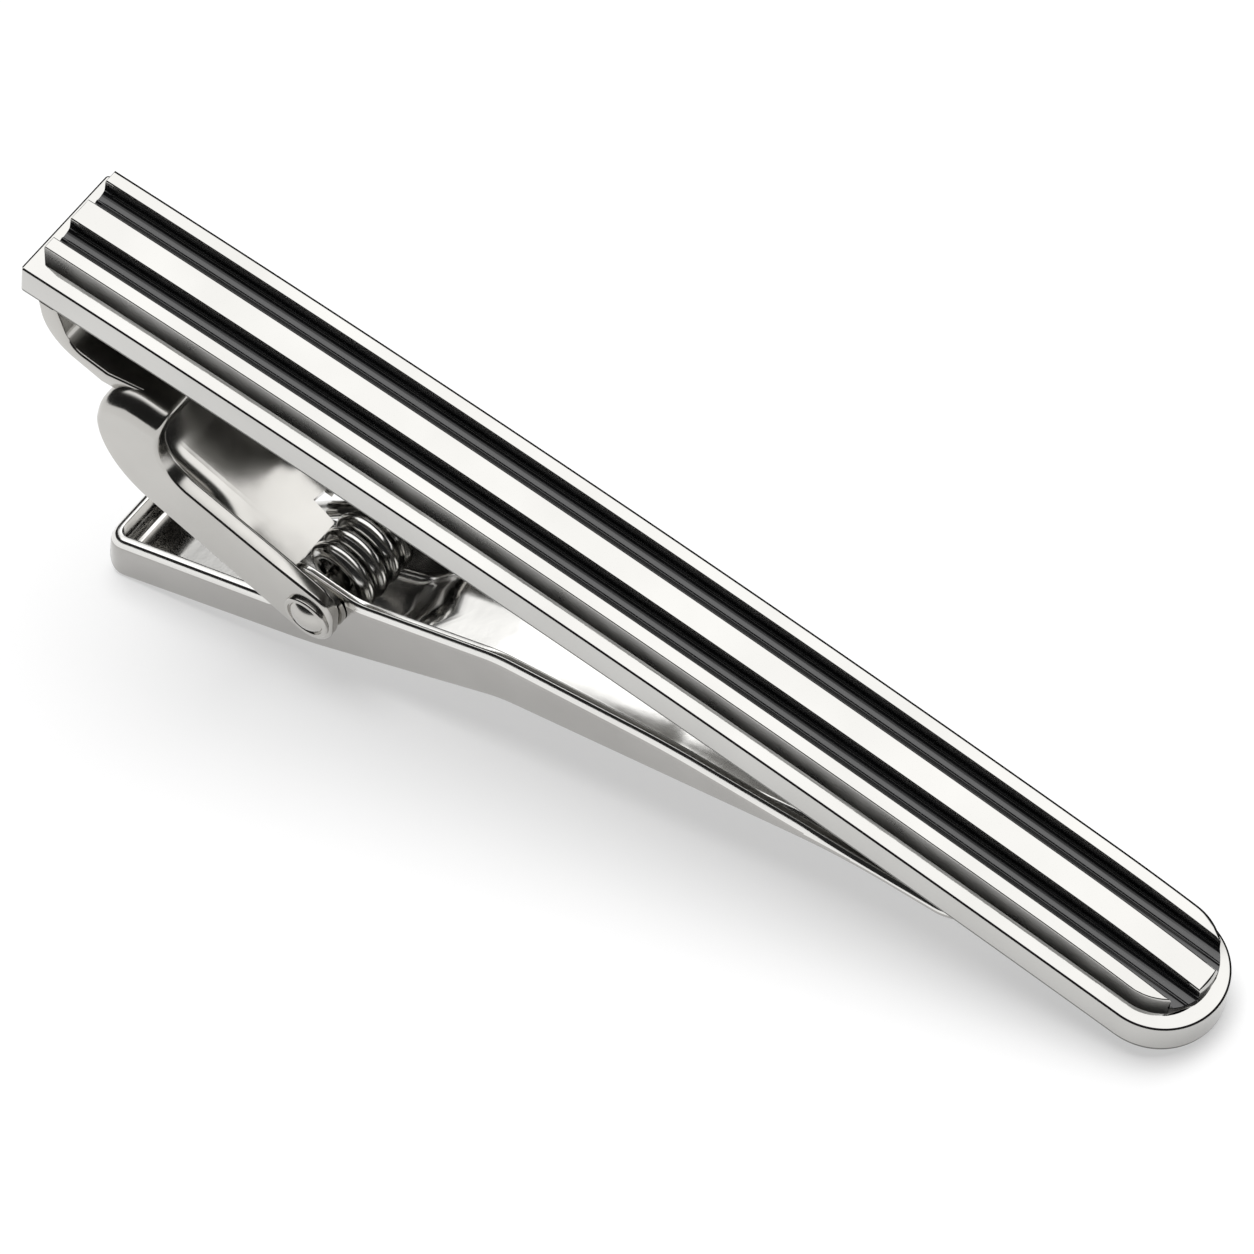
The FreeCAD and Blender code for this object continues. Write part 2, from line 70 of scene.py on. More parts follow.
# Bar: a flat arch with a fine chamfer and a sloping rim along its face
BAR_LENGTH = 58.0
BAR_WIDTH = 5.75
BAR_THICKNESS = 2.0
ARCH_RISE = 0.92
ARCH_RADIUS = (BAR_LENGTH ** 2 / 4 + ARCH_RISE ** 2) / (2 * ARCH_RISE)
BAR_CORNER = 0.15
BAR_TOP_EDGE = 0.08
BAR_TOP_SLOPE = math.radians(30)
BAR_BOTTOM_EDGE = 0.45
BAR_STATIONS = 121
BAR_EDGE_STEPS = 8
RIM_WIDTH = 0.54
RIM_SLOPE = math.radians(13)
CHAMFER_ROWS = np.array([0, 0.05, 0.95, 1])
BAR_EDGE_ROW = 1.1
PLATE_FOOT_ROW = 0.8
# Painted shade: faces turned away from the face, the back and the rounded lower edge, are darkened
PAINTED_SHADE_FACING = (-2, -0.04)

# Ridged plate: three ridges and two grooves, falling towards the tip
PLATE_HEIGHT = 1.68
PLATE_UNDERCUT = 0.12
PLATE_FOOT = 0.3
PLATE_START = 0.76
PLATE_EDGE = 0.06
PLATE_TIP_EDGE = 0.2
PLATE_FAR_EDGE = 0.11
PLATE_FAR_SLOPE = math.radians(26)
PLATE_STATIONS = 140
PLATE_END_ROWS = PLATE_TIP_EDGE * np.array([0, 0.03, 0.1, 0.2, 0.3, 0.42, 0.55, 0.75, 1, 1.05])
FLANK_ROWS = np.array([0, 0.04, 0.96, 1])
FLANK_FACING = (-0.5, 0.3)
CENTRE_RIDGE = 1.21
GROOVE_WIDTH = 1.09
GROOVE_DEPTH = 1.0
GROOVE_EDGE = 0.08
RIDGE_CROWN = 0.03
RIDGE_STEPS = 9
SIDE_RIDGE_STEPS = 4
RIDGE_EDGE_STEPS = 6
NOSE_ANGLES = np.radians([27, 24, 21, 17.9, 17.4, 15, 12, 9, 6, 3, 0])
TIP_FALL = 0.35
TIP_FALL_LENGTH = 7.0

# Enamel: its section, as shares of the groove's half width and depths below the ridges
ENAMEL_BED = 0.99
ENAMEL_ACROSS = (-1, -0.97, -0.85, -0.3, -0.12, -0.02, 0.04, 0.14, 0.3, 0.5, 0.7, 0.86, 0.95, 0.98, 1)
ENAMEL_DEPTH = (0.16, 0.7, 0.88, 0.9, 0.86, 0.81, 0.81, 0.88, 0.875, 0.845, 0.8, 0.74, 0.66, 0.4, 0.16)
ENAMEL_COLUMNS = 81
ENAMEL_BLUR = 7

# Hinge pin: a rivet with a flange, a parting line and a dome at each end
PIN_X = 15.7
PIN_Z = -10.45
PIN_RADIUS = 0.6
HEAD_RADIUS = 1.1
HEAD_HEIGHT = 0.45
FLANGE = 0.2
FLANGE_EDGE = 0.1
PARTING = 0.03
DOME_RADIUS = 0.84
DOME_HEIGHT = 0.33
PIN_SIDES = 72
DOME_STEPS = 12
FLANGE_STEPS = 7

# Hinge bracket: a scoop of formed sheet
SHEET = 0.7
SHEET_EDGE = 0.22
RIM_LEAN = math.radians(16)
RIM_OUT_EDGE = 0.15
RIM_IN_EDGE = 0.12
BRACKET_HALF = 3.5
WEB_DEPTH = 3.85
WEB_SHEET = 0.8
BACK_X = 4.5
SHOULDER = 1.9
HEEL = 3.9
BEND = 1.1
MOUTH_X = 7.7
MOUTH_RADIUS = 2.07
FLOOR_END = 12.3
RIM_AT_FLOOR_END = 13.1
TONGUE = 1.3
TONGUE_NEAR = 1.75
TONGUE_FAR = 1.1
TONGUE_SIDE = 0.15
LEG_SIDE = 2.02
LEG_TAB = 0.12
FAR_TAB = 0.45
EAR_HALF = 1.7
EAR_FRONT = 1.15
EAR_CORNER = 1.3
EAR_UPPER_SLOPE = math.radians(-12)
EAR_LOWER_SLOPE = math.radians(-15)
SCOOP_ARC = 90
SCOOP_ROWS = (25, 41, 41, 37)
SIDE_COLUMNS = 9
EDGE_COLUMNS = 11

# The scoop's dish: its depth, its spans from each side, and where it rises and fades, as shares of the rows
# to the heel and of the rows along the floor. The outer bend fades over shares of the rows to the heel.
DISH = 2.1
NEAR_SPAN = 1.8
FAR_SPAN = 3.6
DISH_RISE = (0.5, 1.5)
DISH_FADE = (0.25, 0.85)
BEND_FADE = (0.4, 1.1)

# Bracket's neck: a strip from the bar's back to the scoop's web
FOOT_X = (0.9, 1.8)
NECK_OUTER = (1.4, -3.9, 2.4)
NECK_INNER = (2.6, -3.55, 1.2)
NECK_HALF = 2.875
NECK_END_HALF = 2.45
NECK_KNEE = 0.4
NECK_SHEET = 1.2
NECK_EDGE = 0.15
NECK_SUNK = 0.3
NECK_ARC = 40
NECK_EDGE_STEPS = 6

# Lever: side outlines. Jaw corners are shares of the jaw's length and of its rise, with a radius.
LEVER_TAIL_X = 4.4
LEVER_TIP_X = 48.5
JAW_GAP = 0.08
TIP_THICKNESS = 0.62
TAIL_DROP = 9.8
TAIL_HEIGHT = 2.65
TAIL_TAPER = 0.25
TAIL_RADIUS = 0.9
TAIL_RIM_RADIUS = 0.65
BEND_BACK = 0.5
BEND_DROP = 4.3
BEND_RADIUS = 25
LUG_ROOT = 2.3
LUG_ROOT_RADIUS = 0.8
LUG_BACK = 1.8
LUG_BACK_RADIUS = 1.2
LUG_FRONT = 1.5
LUG_FRONT_RADIUS = 2.5
LUG_HEIGHT = 1.0
LEVER_ARC = 12
JAW_UNDER = ((0.274, 0.18, 7), (0.787, 0.828, 25))
JAW_RIM = ((0.262, 0.513, 6), (0.521, 0.755, 30))

# Lever: section of the tray. Stations stand closer at the lug and the tail, over a range of shares of the
# length with a count, and the tray's floor rises over a range of distances from the pin.
LEVER_WIDTH = 5.0
LEVER_WALL = 0.5
LEVER_FLOOR = 0.55
LEVER_EDGE = 0.25
LEVER_SHOULDER = 1.0
LEVER_SHOULDER_TURN = math.radians(30)
LEVER_RIM_EDGE = 0.18
LEVER_RIM_INNER = 0.08
LEVER_RIM_SHARE = 0.8
LEVER_INNER = 0.5
LEVER_CORNER = 1.0
LEVER_STATIONS = 161
LEAN_STEPS = 8
LEVER_EDGE_STEPS = 7
CLOSE_TO_LUG = (-0.025, 0.03, 60)
CLOSE_TO_TAIL = (0, 0.03, 16)
TRAY_DEPTH = 1.8
TRAY_LEAST = 0.1
TRAY_RAMP = (2.0, 4.4)
TRAY_MIDDLE = 0.6
# Painted highlight: faces turned up, on the rim and in the tray, get a brighter finish
PAINTED_HIGHLIGHT_FACING = (0.2, 2)

# Spring: a coil of round wire about the pin with two legs.
WIRE = 0.76
WIRE_SIDES = 28
WIRE_END = 0.3
WIRE_END_STEPS = 5
COIL_RADIUS = 1.35
COIL_PITCH = 0.86
COIL_TURNS = 3
COIL_SHIFT = 0.03
COIL_STATIONS = 260
LEG_STATIONS = 24
UPPER_LEG = 5.2
LOWER_LEG = 7.7
SEAT_GAP = 0.03

# Finishes: sizes in millimetres of haze, wear and buffing on the plating, of flow, gloss and peel on the
# enamel, and of clouds on the sweep. Real buffing marks are too fine to show in the render, so they are drawn
# as coarse as they need to show. A relief is a bump's strength and its depth.
HAZE_SIZE = 5.0
WEAR_SIZE = 1.6
BUFFING_SIZE = 0.5
BUFFING_RELIEF = (0.05, 0.01)
FLOW_SIZE = 2.5
GLOSS_SIZE = 1.0
PEEL_SIZE = 0.45
PEEL_RELIEF = (0.04, 0.02)
CLOUD_SIZE = 40.0
FINE_DETAIL = 3.0
PLAIN_DETAIL = 1.0
NOISE_LOW = 0.3
NOISE_HIGH = 0.7

# Sockets of a colour mix node, by number because several share a name
MIX_FACTOR = 0
MIX_DARK = 6
MIX_LIGHT = 7
MIX_COLOUR = 2

# Camera, in the clip's own millimetres: a long lens from the front right, well above the bar
EYE = (160.729, -220.128, 444.898)
FORWARD = (-0.25605263, 0.42733896, -0.86707466)
RIGHT = (0.79875982, 0.59872983, 0.059206)
LENS = 367.17
SENSOR = 36.0

# Light: a panel that fades in with height and out at its sides, each side an axis and the tangents that
# it fades between, and a wide sun for the sweep
PANEL_LIGHT = 1.7
PANEL_HEIGHT = (0.2, 0.4)
PANEL_SIDES = (("X", -1.5, -1.15), ("X", 1.4, 1.0), ("Y", -0.42, -0.12), ("Y", 1.5, 1.1))
ROOM_LIGHT = 0.02
SWEEP_LIGHT = 4.2
SWEEP_LIGHT_ANGLE = math.radians(50)
SWEEP_LIGHT_TILT = math.radians(-8)
SWEEP_GLOW = 0.52
SWEEP_HALF = 1.5


def laid(points):
    """A turn of the resting tilt about Y."""
    x, y, z = np.moveaxis(np.asarray(points, float), -1, 0)
    c = math.cos(TILT)
    s = math.sin(TILT)
    return np.stack([x * c + z * s, y, z * c - x * s], -1)


def lay_down(points):
    """Millimetres of the clip as made to metres as it lies: tilted, with the pin on the hinge's axis."""
    return (laid(points) - laid([PIN_X, 0, PIN_Z])) * MM + HINGE


def face_height(x):
    """Height of the bar's arched face: a circle through both ends and the rise at mid-length."""
    return np.sqrt(ARCH_RADIUS ** 2 - (x - BAR_LENGTH / 2) ** 2) + ARCH_RISE - ARCH_RADIUS


def bar_back(x):
    """Height of the bar's back, a concentric circle one thickness further in."""
    inner = ARCH_RADIUS - BAR_THICKNESS
    return np.sqrt(inner ** 2 - (x - BAR_LENGTH / 2) ** 2) + ARCH_RISE - ARCH_RADIUS


def quarter(steps):
    """Angles of a rounded edge, from 0 to a right angle."""
    return np.linspace(0, math.pi / 2, steps)


def ease(along, start, end):
    """A smooth step from 0 at the start to 1 at the end: thrice the share squared less twice its cube."""
    share = np.clip((along - start) / (end - start), 0, 1)
    return share * share * (3 - 2 * share)


def grid_faces(rows, columns, closed):
    """Quads between neighbouring rows and columns of a grid, round again to the first column if closed."""
    i, j = np.meshgrid(np.arange(rows - 1), np.arange(columns - (not closed)), indexing="ij")
    k = (j + 1) % columns
    here = i * columns
    ahead = (i + 1) * columns
    return np.stack([here + j, here + k, ahead + k, ahead + j], -1).reshape(-1, 4)


def weld(points, quads):
    """One vertex per place, and quads that lost a side turned to triangles or dropped."""
    keys = np.round(points / (WELD_GAP * MM)).astype(np.int64)
    first, index = np.unique(keys, axis=0, return_index=True, return_inverse=True)[1:]
    quads = index.reshape(-1)[quads]
    same = quads == np.roll(quads, -1, axis=1)
    lost = same.sum(1)
    whole = quads[(lost == 0) & (quads[:, 0] != quads[:, 2]) & (quads[:, 1] != quads[:, 3])]
    short = quads[lost == 1]
    order = (np.argmax(same[lost == 1], axis=1)[:, None] + np.arange(1, 4)) % 4
    return points[first], whole.tolist() + np.take_along_axis(short, order, 1).tolist()


def make_piece(name, grids, finish):
    """A mesh from grids of points in millimetres, each marked closed or open across its columns."""
    points = []
    quads = []
    count = 0
    for grid, closed in grids:
        rows, columns = grid.shape[:2]
        points.append(grid.reshape(-1, 3))
        quads.append(grid_faces(rows, columns, closed) + count)
        count += rows * columns
    mesh = bpy.data.meshes.new(name)
    vertices, faces = weld(lay_down(np.concatenate(points)), np.concatenate(quads))
    mesh.from_pydata(vertices, [], faces)
    shell = bmesh.new()
    shell.from_mesh(mesh)
    bmesh.ops.recalc_face_normals(shell, faces=shell.faces)
    shell.to_mesh(mesh)
    shell.free()
    mesh.polygons.foreach_set("use_smooth", np.ones(len(mesh.polygons), bool))
    mesh.set_sharp_from_angle(angle=CREASE)
    mesh.materials.append(finish)
    piece = bpy.data.objects.new(name, mesh)
    bpy.context.scene.collection.objects.link(piece)
    return piece


def refinish(piece, finish, facing):
    """A second finish on the faces whose normals rise out of the clip's face by a share within a range."""
    piece.data.materials.append(finish)
    normals = np.empty(3 * len(piece.data.polygons))
    piece.data.polygons.foreach_get("normal", normals)
    rise = normals.reshape(-1, 3) @ laid([0, 0, 1])
    chosen = (rise > facing[0]) & (rise < facing[1])
    piece.data.polygons.foreach_set("material_index", chosen.astype(np.int32))


def rounded_path(corners, steps):
    """Points along straight runs through (x, z, radius) corners, each turned by a tangent arc."""
    path = [np.array(corners[0][:2])]
    for before, corner, after in zip(corners, corners[1:], corners[2:]):
        point = np.array(corner[:2])
        back = np.array(before[:2]) - point
        ahead = np.array(after[:2]) - point
        back = back / np.linalg.norm(back)
        ahead = ahead / np.linalg.norm(ahead)
        half = math.acos(np.dot(back, ahead)) / 2
        inward = (back + ahead) / np.linalg.norm(back + ahead)
        centre = point + inward * corner[2] / math.sin(half)
        swing = np.linspace(-1, 1, steps) * (math.pi / 2 - half)
        side = (ahead - back) / np.linalg.norm(ahead - back)
        path.extend(centre + corner[2] * (np.outer(np.sin(swing), side) - np.outer(np.cos(swing), inward)))
    path.append(np.array(corners[-1][:2]))
    return np.array(path)


def plan_loop(left, right, half, corner, offset, along):
    """A plan with one square and one round end, drawn in by an offset: along the near side, round the nose,
    back along the far side and across the square end."""
    reach = half - offset
    small = max(corner - offset, 0)
    start = left + offset + small
    end = right - half
    side = start + along * (end - start)
    flat = reach - small
    nose = np.radians(np.linspace(-90, 90, NOSE_STEPS)[1:-1])
    far_turn = np.radians(np.linspace(90, 180, CORNER_STEPS)[1:])
    near_turn = np.radians(np.linspace(180, 270, CORNER_STEPS)[:-1])
    edge = np.linspace(flat, -flat, END_STEPS)[1:-1]
    x = np.concatenate([
        side, end + reach * np.cos(nose), side[::-1], start + small * np.cos(far_turn),
        np.full(len(edge), left + offset), start + small * np.cos(near_turn),
    ])
    y = np.concatenate([
        np.full(len(side), -reach), reach * np.sin(nose), np.full(len(side), reach),
        flat + small * np.sin(far_turn), edge, small * np.sin(near_turn) - flat,
    ])
    return x, y


def ring_stack(left, right, half, corner, along, offsets, height):
    """Plan loops drawn in by each offset in turn, with height(k, x) as loop k's level along the piece."""
    loops = [plan_loop(left, right, half, corner, offset, along) for offset in offsets]
    return np.stack([np.stack([x, y, height(k, x)], -1) for k, (x, y) in enumerate(loops)])


def make_bar(finish, back_painted_shade_finish):
    """Plan loops stacked from the back's middle line over the rounded lower edge, up the side, over a fine
    chamfer and the sloping rim to the face's middle line, bent to the arch. Rows close to an edge keep the
    faces beside it flat. The back and the lower edge have a plainer finish: dull, and darkened as painted
    shade."""
    half = BAR_WIDTH / 2
    turn = quarter(BAR_EDGE_STEPS)
    edge_in = BAR_TOP_EDGE * CHAMFER_ROWS
    edge_up = BAR_TOP_EDGE * math.tan(BAR_TOP_SLOPE) * (CHAMFER_ROWS - 1)
    rim_in = np.array([
        BAR_EDGE_ROW * BAR_TOP_EDGE, RIM_WIDTH + PLATE_FOOT_ROW * PLATE_FOOT, RIM_WIDTH + PLATE_FOOT,
    ])
    rim_up = edge_up[-1] + (rim_in - edge_in[-1]) * math.tan(RIM_SLOPE)
    middle_up = np.interp(RIM_WIDTH / 2, rim_in, rim_up)
    lower_in = BAR_BOTTOM_EDGE * (1 - np.sin(turn))
    offsets = np.concatenate([[half, half / 2], lower_in, edge_in, rim_in, [half]])
    rise = np.concatenate([
        [0, 0], BAR_BOTTOM_EDGE * (1 - np.cos(turn)),
        BAR_THICKNESS - middle_up + np.concatenate([edge_up, rim_up, rim_up[-1:]]),
    ])
    stack = ring_stack(
        0, BAR_LENGTH, half, BAR_CORNER, np.linspace(0, 1, BAR_STATIONS), offsets,
        lambda k, x: face_height(x) - BAR_THICKNESS + rise[k],
    )
    bar = make_piece("polished_bar", [(stack, True)], finish)
    # Painted shade: the back and the rounded lower edge are darkened
    refinish(bar, back_painted_shade_finish, PAINTED_SHADE_FACING)
    return bar


def plate_end(y, margin):
    """Where the plate ends at the tip: the arc of its round nose, inside the bar's by a margin."""
    half = BAR_WIDTH / 2 - margin
    return BAR_LENGTH - BAR_WIDTH / 2 + np.sqrt(np.maximum(half ** 2 - y ** 2, 0))


def along_plate(y, margin=RIM_WIDTH):
    """Distances along the plate at each y: close together at both ends, where the edges are worked."""
    end = plate_end(y, margin)[None, :]
    first = PLATE_START + PLATE_END_ROWS[:, None] + 0 * end
    last = end - PLATE_END_ROWS[::-1, None]
    share = np.linspace(0, 1, PLATE_STATIONS)[1:-1, None]
    return np.concatenate([first, first[-1:] + share * (last[:1] - first[-1:]), last])


def edge_fall(distance, radius):
    """How far a rounded edge has dropped at a distance in from the outline."""
    inside = np.clip(radius - distance, 0, radius)
    return radius - np.sqrt(radius ** 2 - inside ** 2)


def plate_top(x):
    """Top of the ridges: arch and plate height, less a fall that grows as a square towards the tip."""
    share = np.clip((x - BAR_LENGTH + TIP_FALL_LENGTH) / TIP_FALL_LENGTH, 0, 1)
    return face_height(x) + PLATE_HEIGHT - TIP_FALL * share ** 2


def middle_ridge(half):
    """Section of the centre ridge: rounded edges and a slight crown, as (y, drop below the top)."""
    turn = quarter(RIDGE_EDGE_STEPS)
    inner = half - GROOVE_EDGE * (1 - np.cos(turn))
    fall = GROOVE_EDGE * (1 - np.sin(turn))
    crown = np.linspace(-inner[-1], inner[-1], RIDGE_STEPS)[1:-1]
    y = np.concatenate([-inner, crown, inner[::-1]])
    drop = np.concatenate([fall, np.zeros(len(crown)), fall[::-1]])
    return y, drop + RIDGE_CROWN * (y / half) ** 2


def side_ridge(low, high):
    """Section of an outer ridge: a rounded groove edge, then columns that divide the round nose evenly."""
    turn = quarter(RIDGE_EDGE_STEPS)
    groove = low + GROOVE_EDGE * (1 - np.cos(turn))
    round_nose = high * np.cos(NOSE_ANGLES)
    crown = np.linspace(groove[-1], round_nose[0], SIDE_RIDGE_STEPS)[1:-1]
    y = np.concatenate([groove, crown, round_nose])
    drop = np.concatenate([GROOVE_EDGE * (1 - np.sin(turn)), np.zeros(len(crown) + len(round_nose))])
    return y, drop + RIDGE_CROWN * np.clip((low - y) / (high - low) + 0.5, 0, 1) ** 2


def with_flanks(upper, lower):
    """Two grids and the upright faces between their borders, which a row close to each border keeps flat."""
    share = FLANK_ROWS[:, None, None]
    borders = [(grid[0], grid[-1], grid[:, 0], grid[:, -1]) for grid in (lower, upper)]
    walls = [low + share * (high - low) for low, high in zip(*borders)]
    return [(grid, False) for grid in (upper, lower, *walls)]


def make_plate(finish, flank_finish):
    """A height over the plate's plan: three ridges across, two grooves between, edges rounded by the
    distance to the outline and chamfered on the far side. A slightly narrower plan at the bar's face closes
    it below, so the flanks are undercut. The flanks have a plainer finish."""
    half = BAR_WIDTH / 2 - RIM_WIDTH
    groove_in = CENTRE_RIDGE / 2
    groove_out = groove_in + GROOVE_WIDTH
    middle_y, middle_drop = middle_ridge(groove_in)
    side_y, side_drop = side_ridge(groove_out, half)
    floor = [GROOVE_DEPTH] * 2
    grooves = np.array([groove_in, groove_out])
    y = np.concatenate([-side_y[::-1], -grooves[::-1], middle_y, grooves, side_y])
    drop = np.concatenate([side_drop[::-1], floor, middle_drop, floor, side_drop])
    x = along_plate(y)
    across = np.broadcast_to(y, x.shape)
    past = np.maximum(x - BAR_LENGTH + BAR_WIDTH / 2, 0)
    out = np.hypot(past, across)
    to_side = np.maximum(half - out, 0)
    radius = PLATE_EDGE + (PLATE_TIP_EDGE - PLATE_EDGE) * (past / np.maximum(out, GROOVE_EDGE)) ** 2
    far = np.clip(across / groove_in - 1, 0, 1)
    chamfer = np.maximum(PLATE_FAR_EDGE - to_side, 0) * math.tan(PLATE_FAR_SLOPE) * far
    start_fall = edge_fall(x - PLATE_START, PLATE_EDGE)
    side_fall = np.where(across > groove_out, chamfer, edge_fall(to_side, radius))
    fall = np.maximum(side_fall, start_fall)
    top = np.maximum(plate_top(x) - np.maximum(drop, fall), face_height(x) + PLATE_HEIGHT - GROOVE_DEPTH)
    upper = np.stack([x, across, top], -1)
    foot_y = y * (1 - PLATE_UNDERCUT / half)
    foot_x = along_plate(foot_y, RIM_WIDTH + PLATE_UNDERCUT)
    lower = np.stack([foot_x, np.broadcast_to(foot_y, x.shape), face_height(foot_x)], -1)
    plate = make_piece("ridged_face", with_flanks(upper, lower), finish)
    refinish(plate, flank_finish, FLANK_FACING)
    return plate


def make_enamel(name, side, finish):
    """Enamel drawn up a groove's walls, with a slope, a fine rib and a flat flute: a section carried along
    the groove, closed below."""
    share = np.linspace(-1, 1, ENAMEL_COLUMNS)
    blur = np.hanning(ENAMEL_BLUR) / np.hanning(ENAMEL_BLUR).sum()
    section = np.pad(np.interp(share, ENAMEL_ACROSS, ENAMEL_DEPTH), ENAMEL_BLUR // 2, mode="edge")
    depth = np.convolve(section, blur, mode="valid")
    y = side * (CENTRE_RIDGE + GROOVE_WIDTH) / 2 + GROOVE_WIDTH / 2 * share
    x = along_plate(y)
    across = np.broadcast_to(y, x.shape)
    low = face_height(x) + PLATE_HEIGHT - ENAMEL_BED
    upper = np.stack([x, across, low + (plate_top(x) - low) * (1 - depth / ENAMEL_BED)], -1)
    lower = np.stack([x, across, low], -1)
    return make_piece(name, with_flanks(upper, lower), finish)


def lever_paths():
    """Side outlines of the lever, its underside and its rim, each a height along the lever."""
    tip_z = bar_back(LEVER_TIP_X) - JAW_GAP
    tail_z = PIN_Z - TAIL_DROP
    tail_top = tail_z + TAIL_HEIGHT
    bend_x = PIN_X - BEND_BACK
    bend_z = PIN_Z - BEND_DROP
    root_x = PIN_X - LUG_ROOT
    root_z = tail_top + (bend_z - tail_z) / (bend_x - LEVER_TAIL_X) * (root_x - LEVER_TAIL_X) - TAIL_TAPER
    lug_z = PIN_Z + LUG_HEIGHT
    reach = LEVER_TIP_X - PIN_X
    rise = tip_z - PIN_Z
    jaw_under, jaw_rim = [
        [(PIN_X + along * reach, PIN_Z + up * rise, radius) for along, up, radius in corners]
        for corners in (JAW_UNDER, JAW_RIM)
    ]
    under = rounded_path([
        (LEVER_TAIL_X, tail_top, 0), (LEVER_TAIL_X, tail_z, TAIL_RADIUS), (bend_x, bend_z, BEND_RADIUS),
        *jaw_under, (LEVER_TIP_X, tip_z - TIP_THICKNESS, 0),
    ], LEVER_ARC)
    rim = rounded_path([
        (LEVER_TAIL_X, tail_z, 0), (LEVER_TAIL_X, tail_top, TAIL_RIM_RADIUS),
        (root_x, root_z, LUG_ROOT_RADIUS), (PIN_X - LUG_BACK, lug_z, LUG_BACK_RADIUS),
        (PIN_X + LUG_FRONT, lug_z, LUG_FRONT_RADIUS), *jaw_rim, (LEVER_TIP_X, tip_z, 0),
    ], LEVER_ARC)
    return under[1:], rim[1:]


def rim_shoulder():
    """Outer edge of the lever's rim, as (distance in, drop): a wide arc that leans the wall in, then a
    tight one that meets it on the same tangent."""
    lean = np.linspace(0, LEVER_SHOULDER_TURN, LEAN_STEPS)
    tight = np.linspace(LEVER_SHOULDER_TURN, math.pi / 2, LEVER_EDGE_STEPS)[1:]
    across = LEVER_SHOULDER - (LEVER_SHOULDER - LEVER_RIM_EDGE) * math.cos(LEVER_SHOULDER_TURN)
    up = (LEVER_SHOULDER - LEVER_RIM_EDGE) * math.sin(LEVER_SHOULDER_TURN)
    inset = np.concatenate([LEVER_SHOULDER * (1 - np.cos(lean)), across - LEVER_RIM_EDGE * np.cos(tight)])
    rise = np.concatenate([LEVER_SHOULDER * np.sin(lean), up + LEVER_RIM_EDGE * np.sin(tight)])
    return inset, rise[-1] - rise


def make_lever(finish, tray_painted_highlight_finish):
    """An open tray: plan loops stacked from the underside's middle line up the wall, over the rounded rim
    and down to the floor's middle line, with levels from the side outlines. Ahead of the spring the floor
    is raised. The rim and the inside have a brighter finish, a painted highlight, and the outside a greyer
    one, painted shade."""
    under, rim = lever_paths()
    half = LEVER_WIDTH / 2
    turn = quarter(LEVER_EDGE_STEPS)
    inset, drop = rim_shoulder()
    lower = np.concatenate([[0, 0], LEVER_EDGE * (1 - np.cos(turn))])
    inner = LEVER_RIM_INNER * (1 - np.cos(turn))
    bowl = np.concatenate([LEVER_INNER * (1 - np.sin(turn)), [0, 0]])
    to_shoulder, to_inner, to_bowl = np.cumsum([len(lower), len(drop), len(inner)])
    offsets = np.concatenate([
        [half, half / 2], LEVER_EDGE * (1 - np.sin(turn)), inset,
        LEVER_WALL - LEVER_RIM_INNER * (1 - np.sin(turn)), LEVER_WALL + LEVER_INNER * (1 - np.cos(turn)),
        [half * TRAY_MIDDLE, half],
    ])

    def height(k, x):
        """Level of loop k: up from the underside, or down from the rim and less where the wall is low."""
        low = np.interp(x, under[:, 0], under[:, 1])
        high = np.interp(x, rim[:, 0], rim[:, 1])
        depth = np.maximum(high - low - LEVER_FLOOR, TRAY_LEAST)
        depth = depth + (np.minimum(depth, TRAY_DEPTH) - depth) * ease(x - PIN_X, *TRAY_RAMP)
        thin = np.minimum(1, depth / (LEVER_INNER + LEVER_RIM_INNER))
        if k < to_shoulder:
            return low + lower[k]
        if k < to_inner:
            wall = np.minimum(1, LEVER_RIM_SHARE * (high - low - LEVER_EDGE) / drop[0])
            return high - drop[k - to_shoulder] * wall
        if k < to_bowl:
            return high - inner[k - to_inner] * thin
        return high - depth + bowl[k - to_bowl] * thin

    lug = (PIN_X - LUG_BACK - LEVER_TAIL_X) / (LEVER_TIP_X - half - LEVER_TAIL_X)
    along = np.unique(np.concatenate([
        np.linspace(0, 1, LEVER_STATIONS), lug + np.linspace(*CLOSE_TO_LUG), np.linspace(*CLOSE_TO_TAIL),
    ]))
    stack = ring_stack(LEVER_TAIL_X, LEVER_TIP_X, half, LEVER_CORNER, along, offsets, height)
    lever = make_piece("tray_lever", [(stack, True)], finish)
    # Painted highlight on the rim and the tray's up-facing faces; the outside keeps its greyer painted shade
    refinish(lever, tray_painted_highlight_finish, PAINTED_HIGHLIGHT_FACING)
    return lever


def ear_edge(x, half, slope):
    """Height of an ear's edge line, half the ear's width from the pin."""
    return PIN_Z + half / math.cos(slope) + math.tan(slope) * (x - PIN_X)


def stations(path, marks, counts):
    """Points, at even steps between marked lengths along a path, and the path's left-hand normals there.
    A mark is a point's number, with an x on the run after it or None for the point itself."""
    step = np.linalg.norm(np.diff(path, axis=0), axis=1)
    length = np.concatenate([[0], np.cumsum(step)])
    ends = [0]
    for k, x in marks:
        past = 0 if x is None else (x - path[k, 0]) / (path[k + 1, 0] - path[k, 0]) * step[k]
        ends.append(length[k] + past)
    ends.append(length[-1])
    runs = [np.linspace(a, b, count)[:-1] for a, b, count in zip(ends, ends[1:], counts)]
    at = np.concatenate([*runs, ends[-1:]])
    way = np.gradient(path, length, axis=0)
    place = np.stack([np.interp(at, length, path[:, i]) for i in (0, 1)], -1)
    way = np.stack([np.interp(at, length, way[:, i]) for i in (0, 1)], -1)
    way /= np.linalg.norm(way, axis=1)[:, None]
    return place, np.stack([-way[:, 1], way[:, 0]], -1)


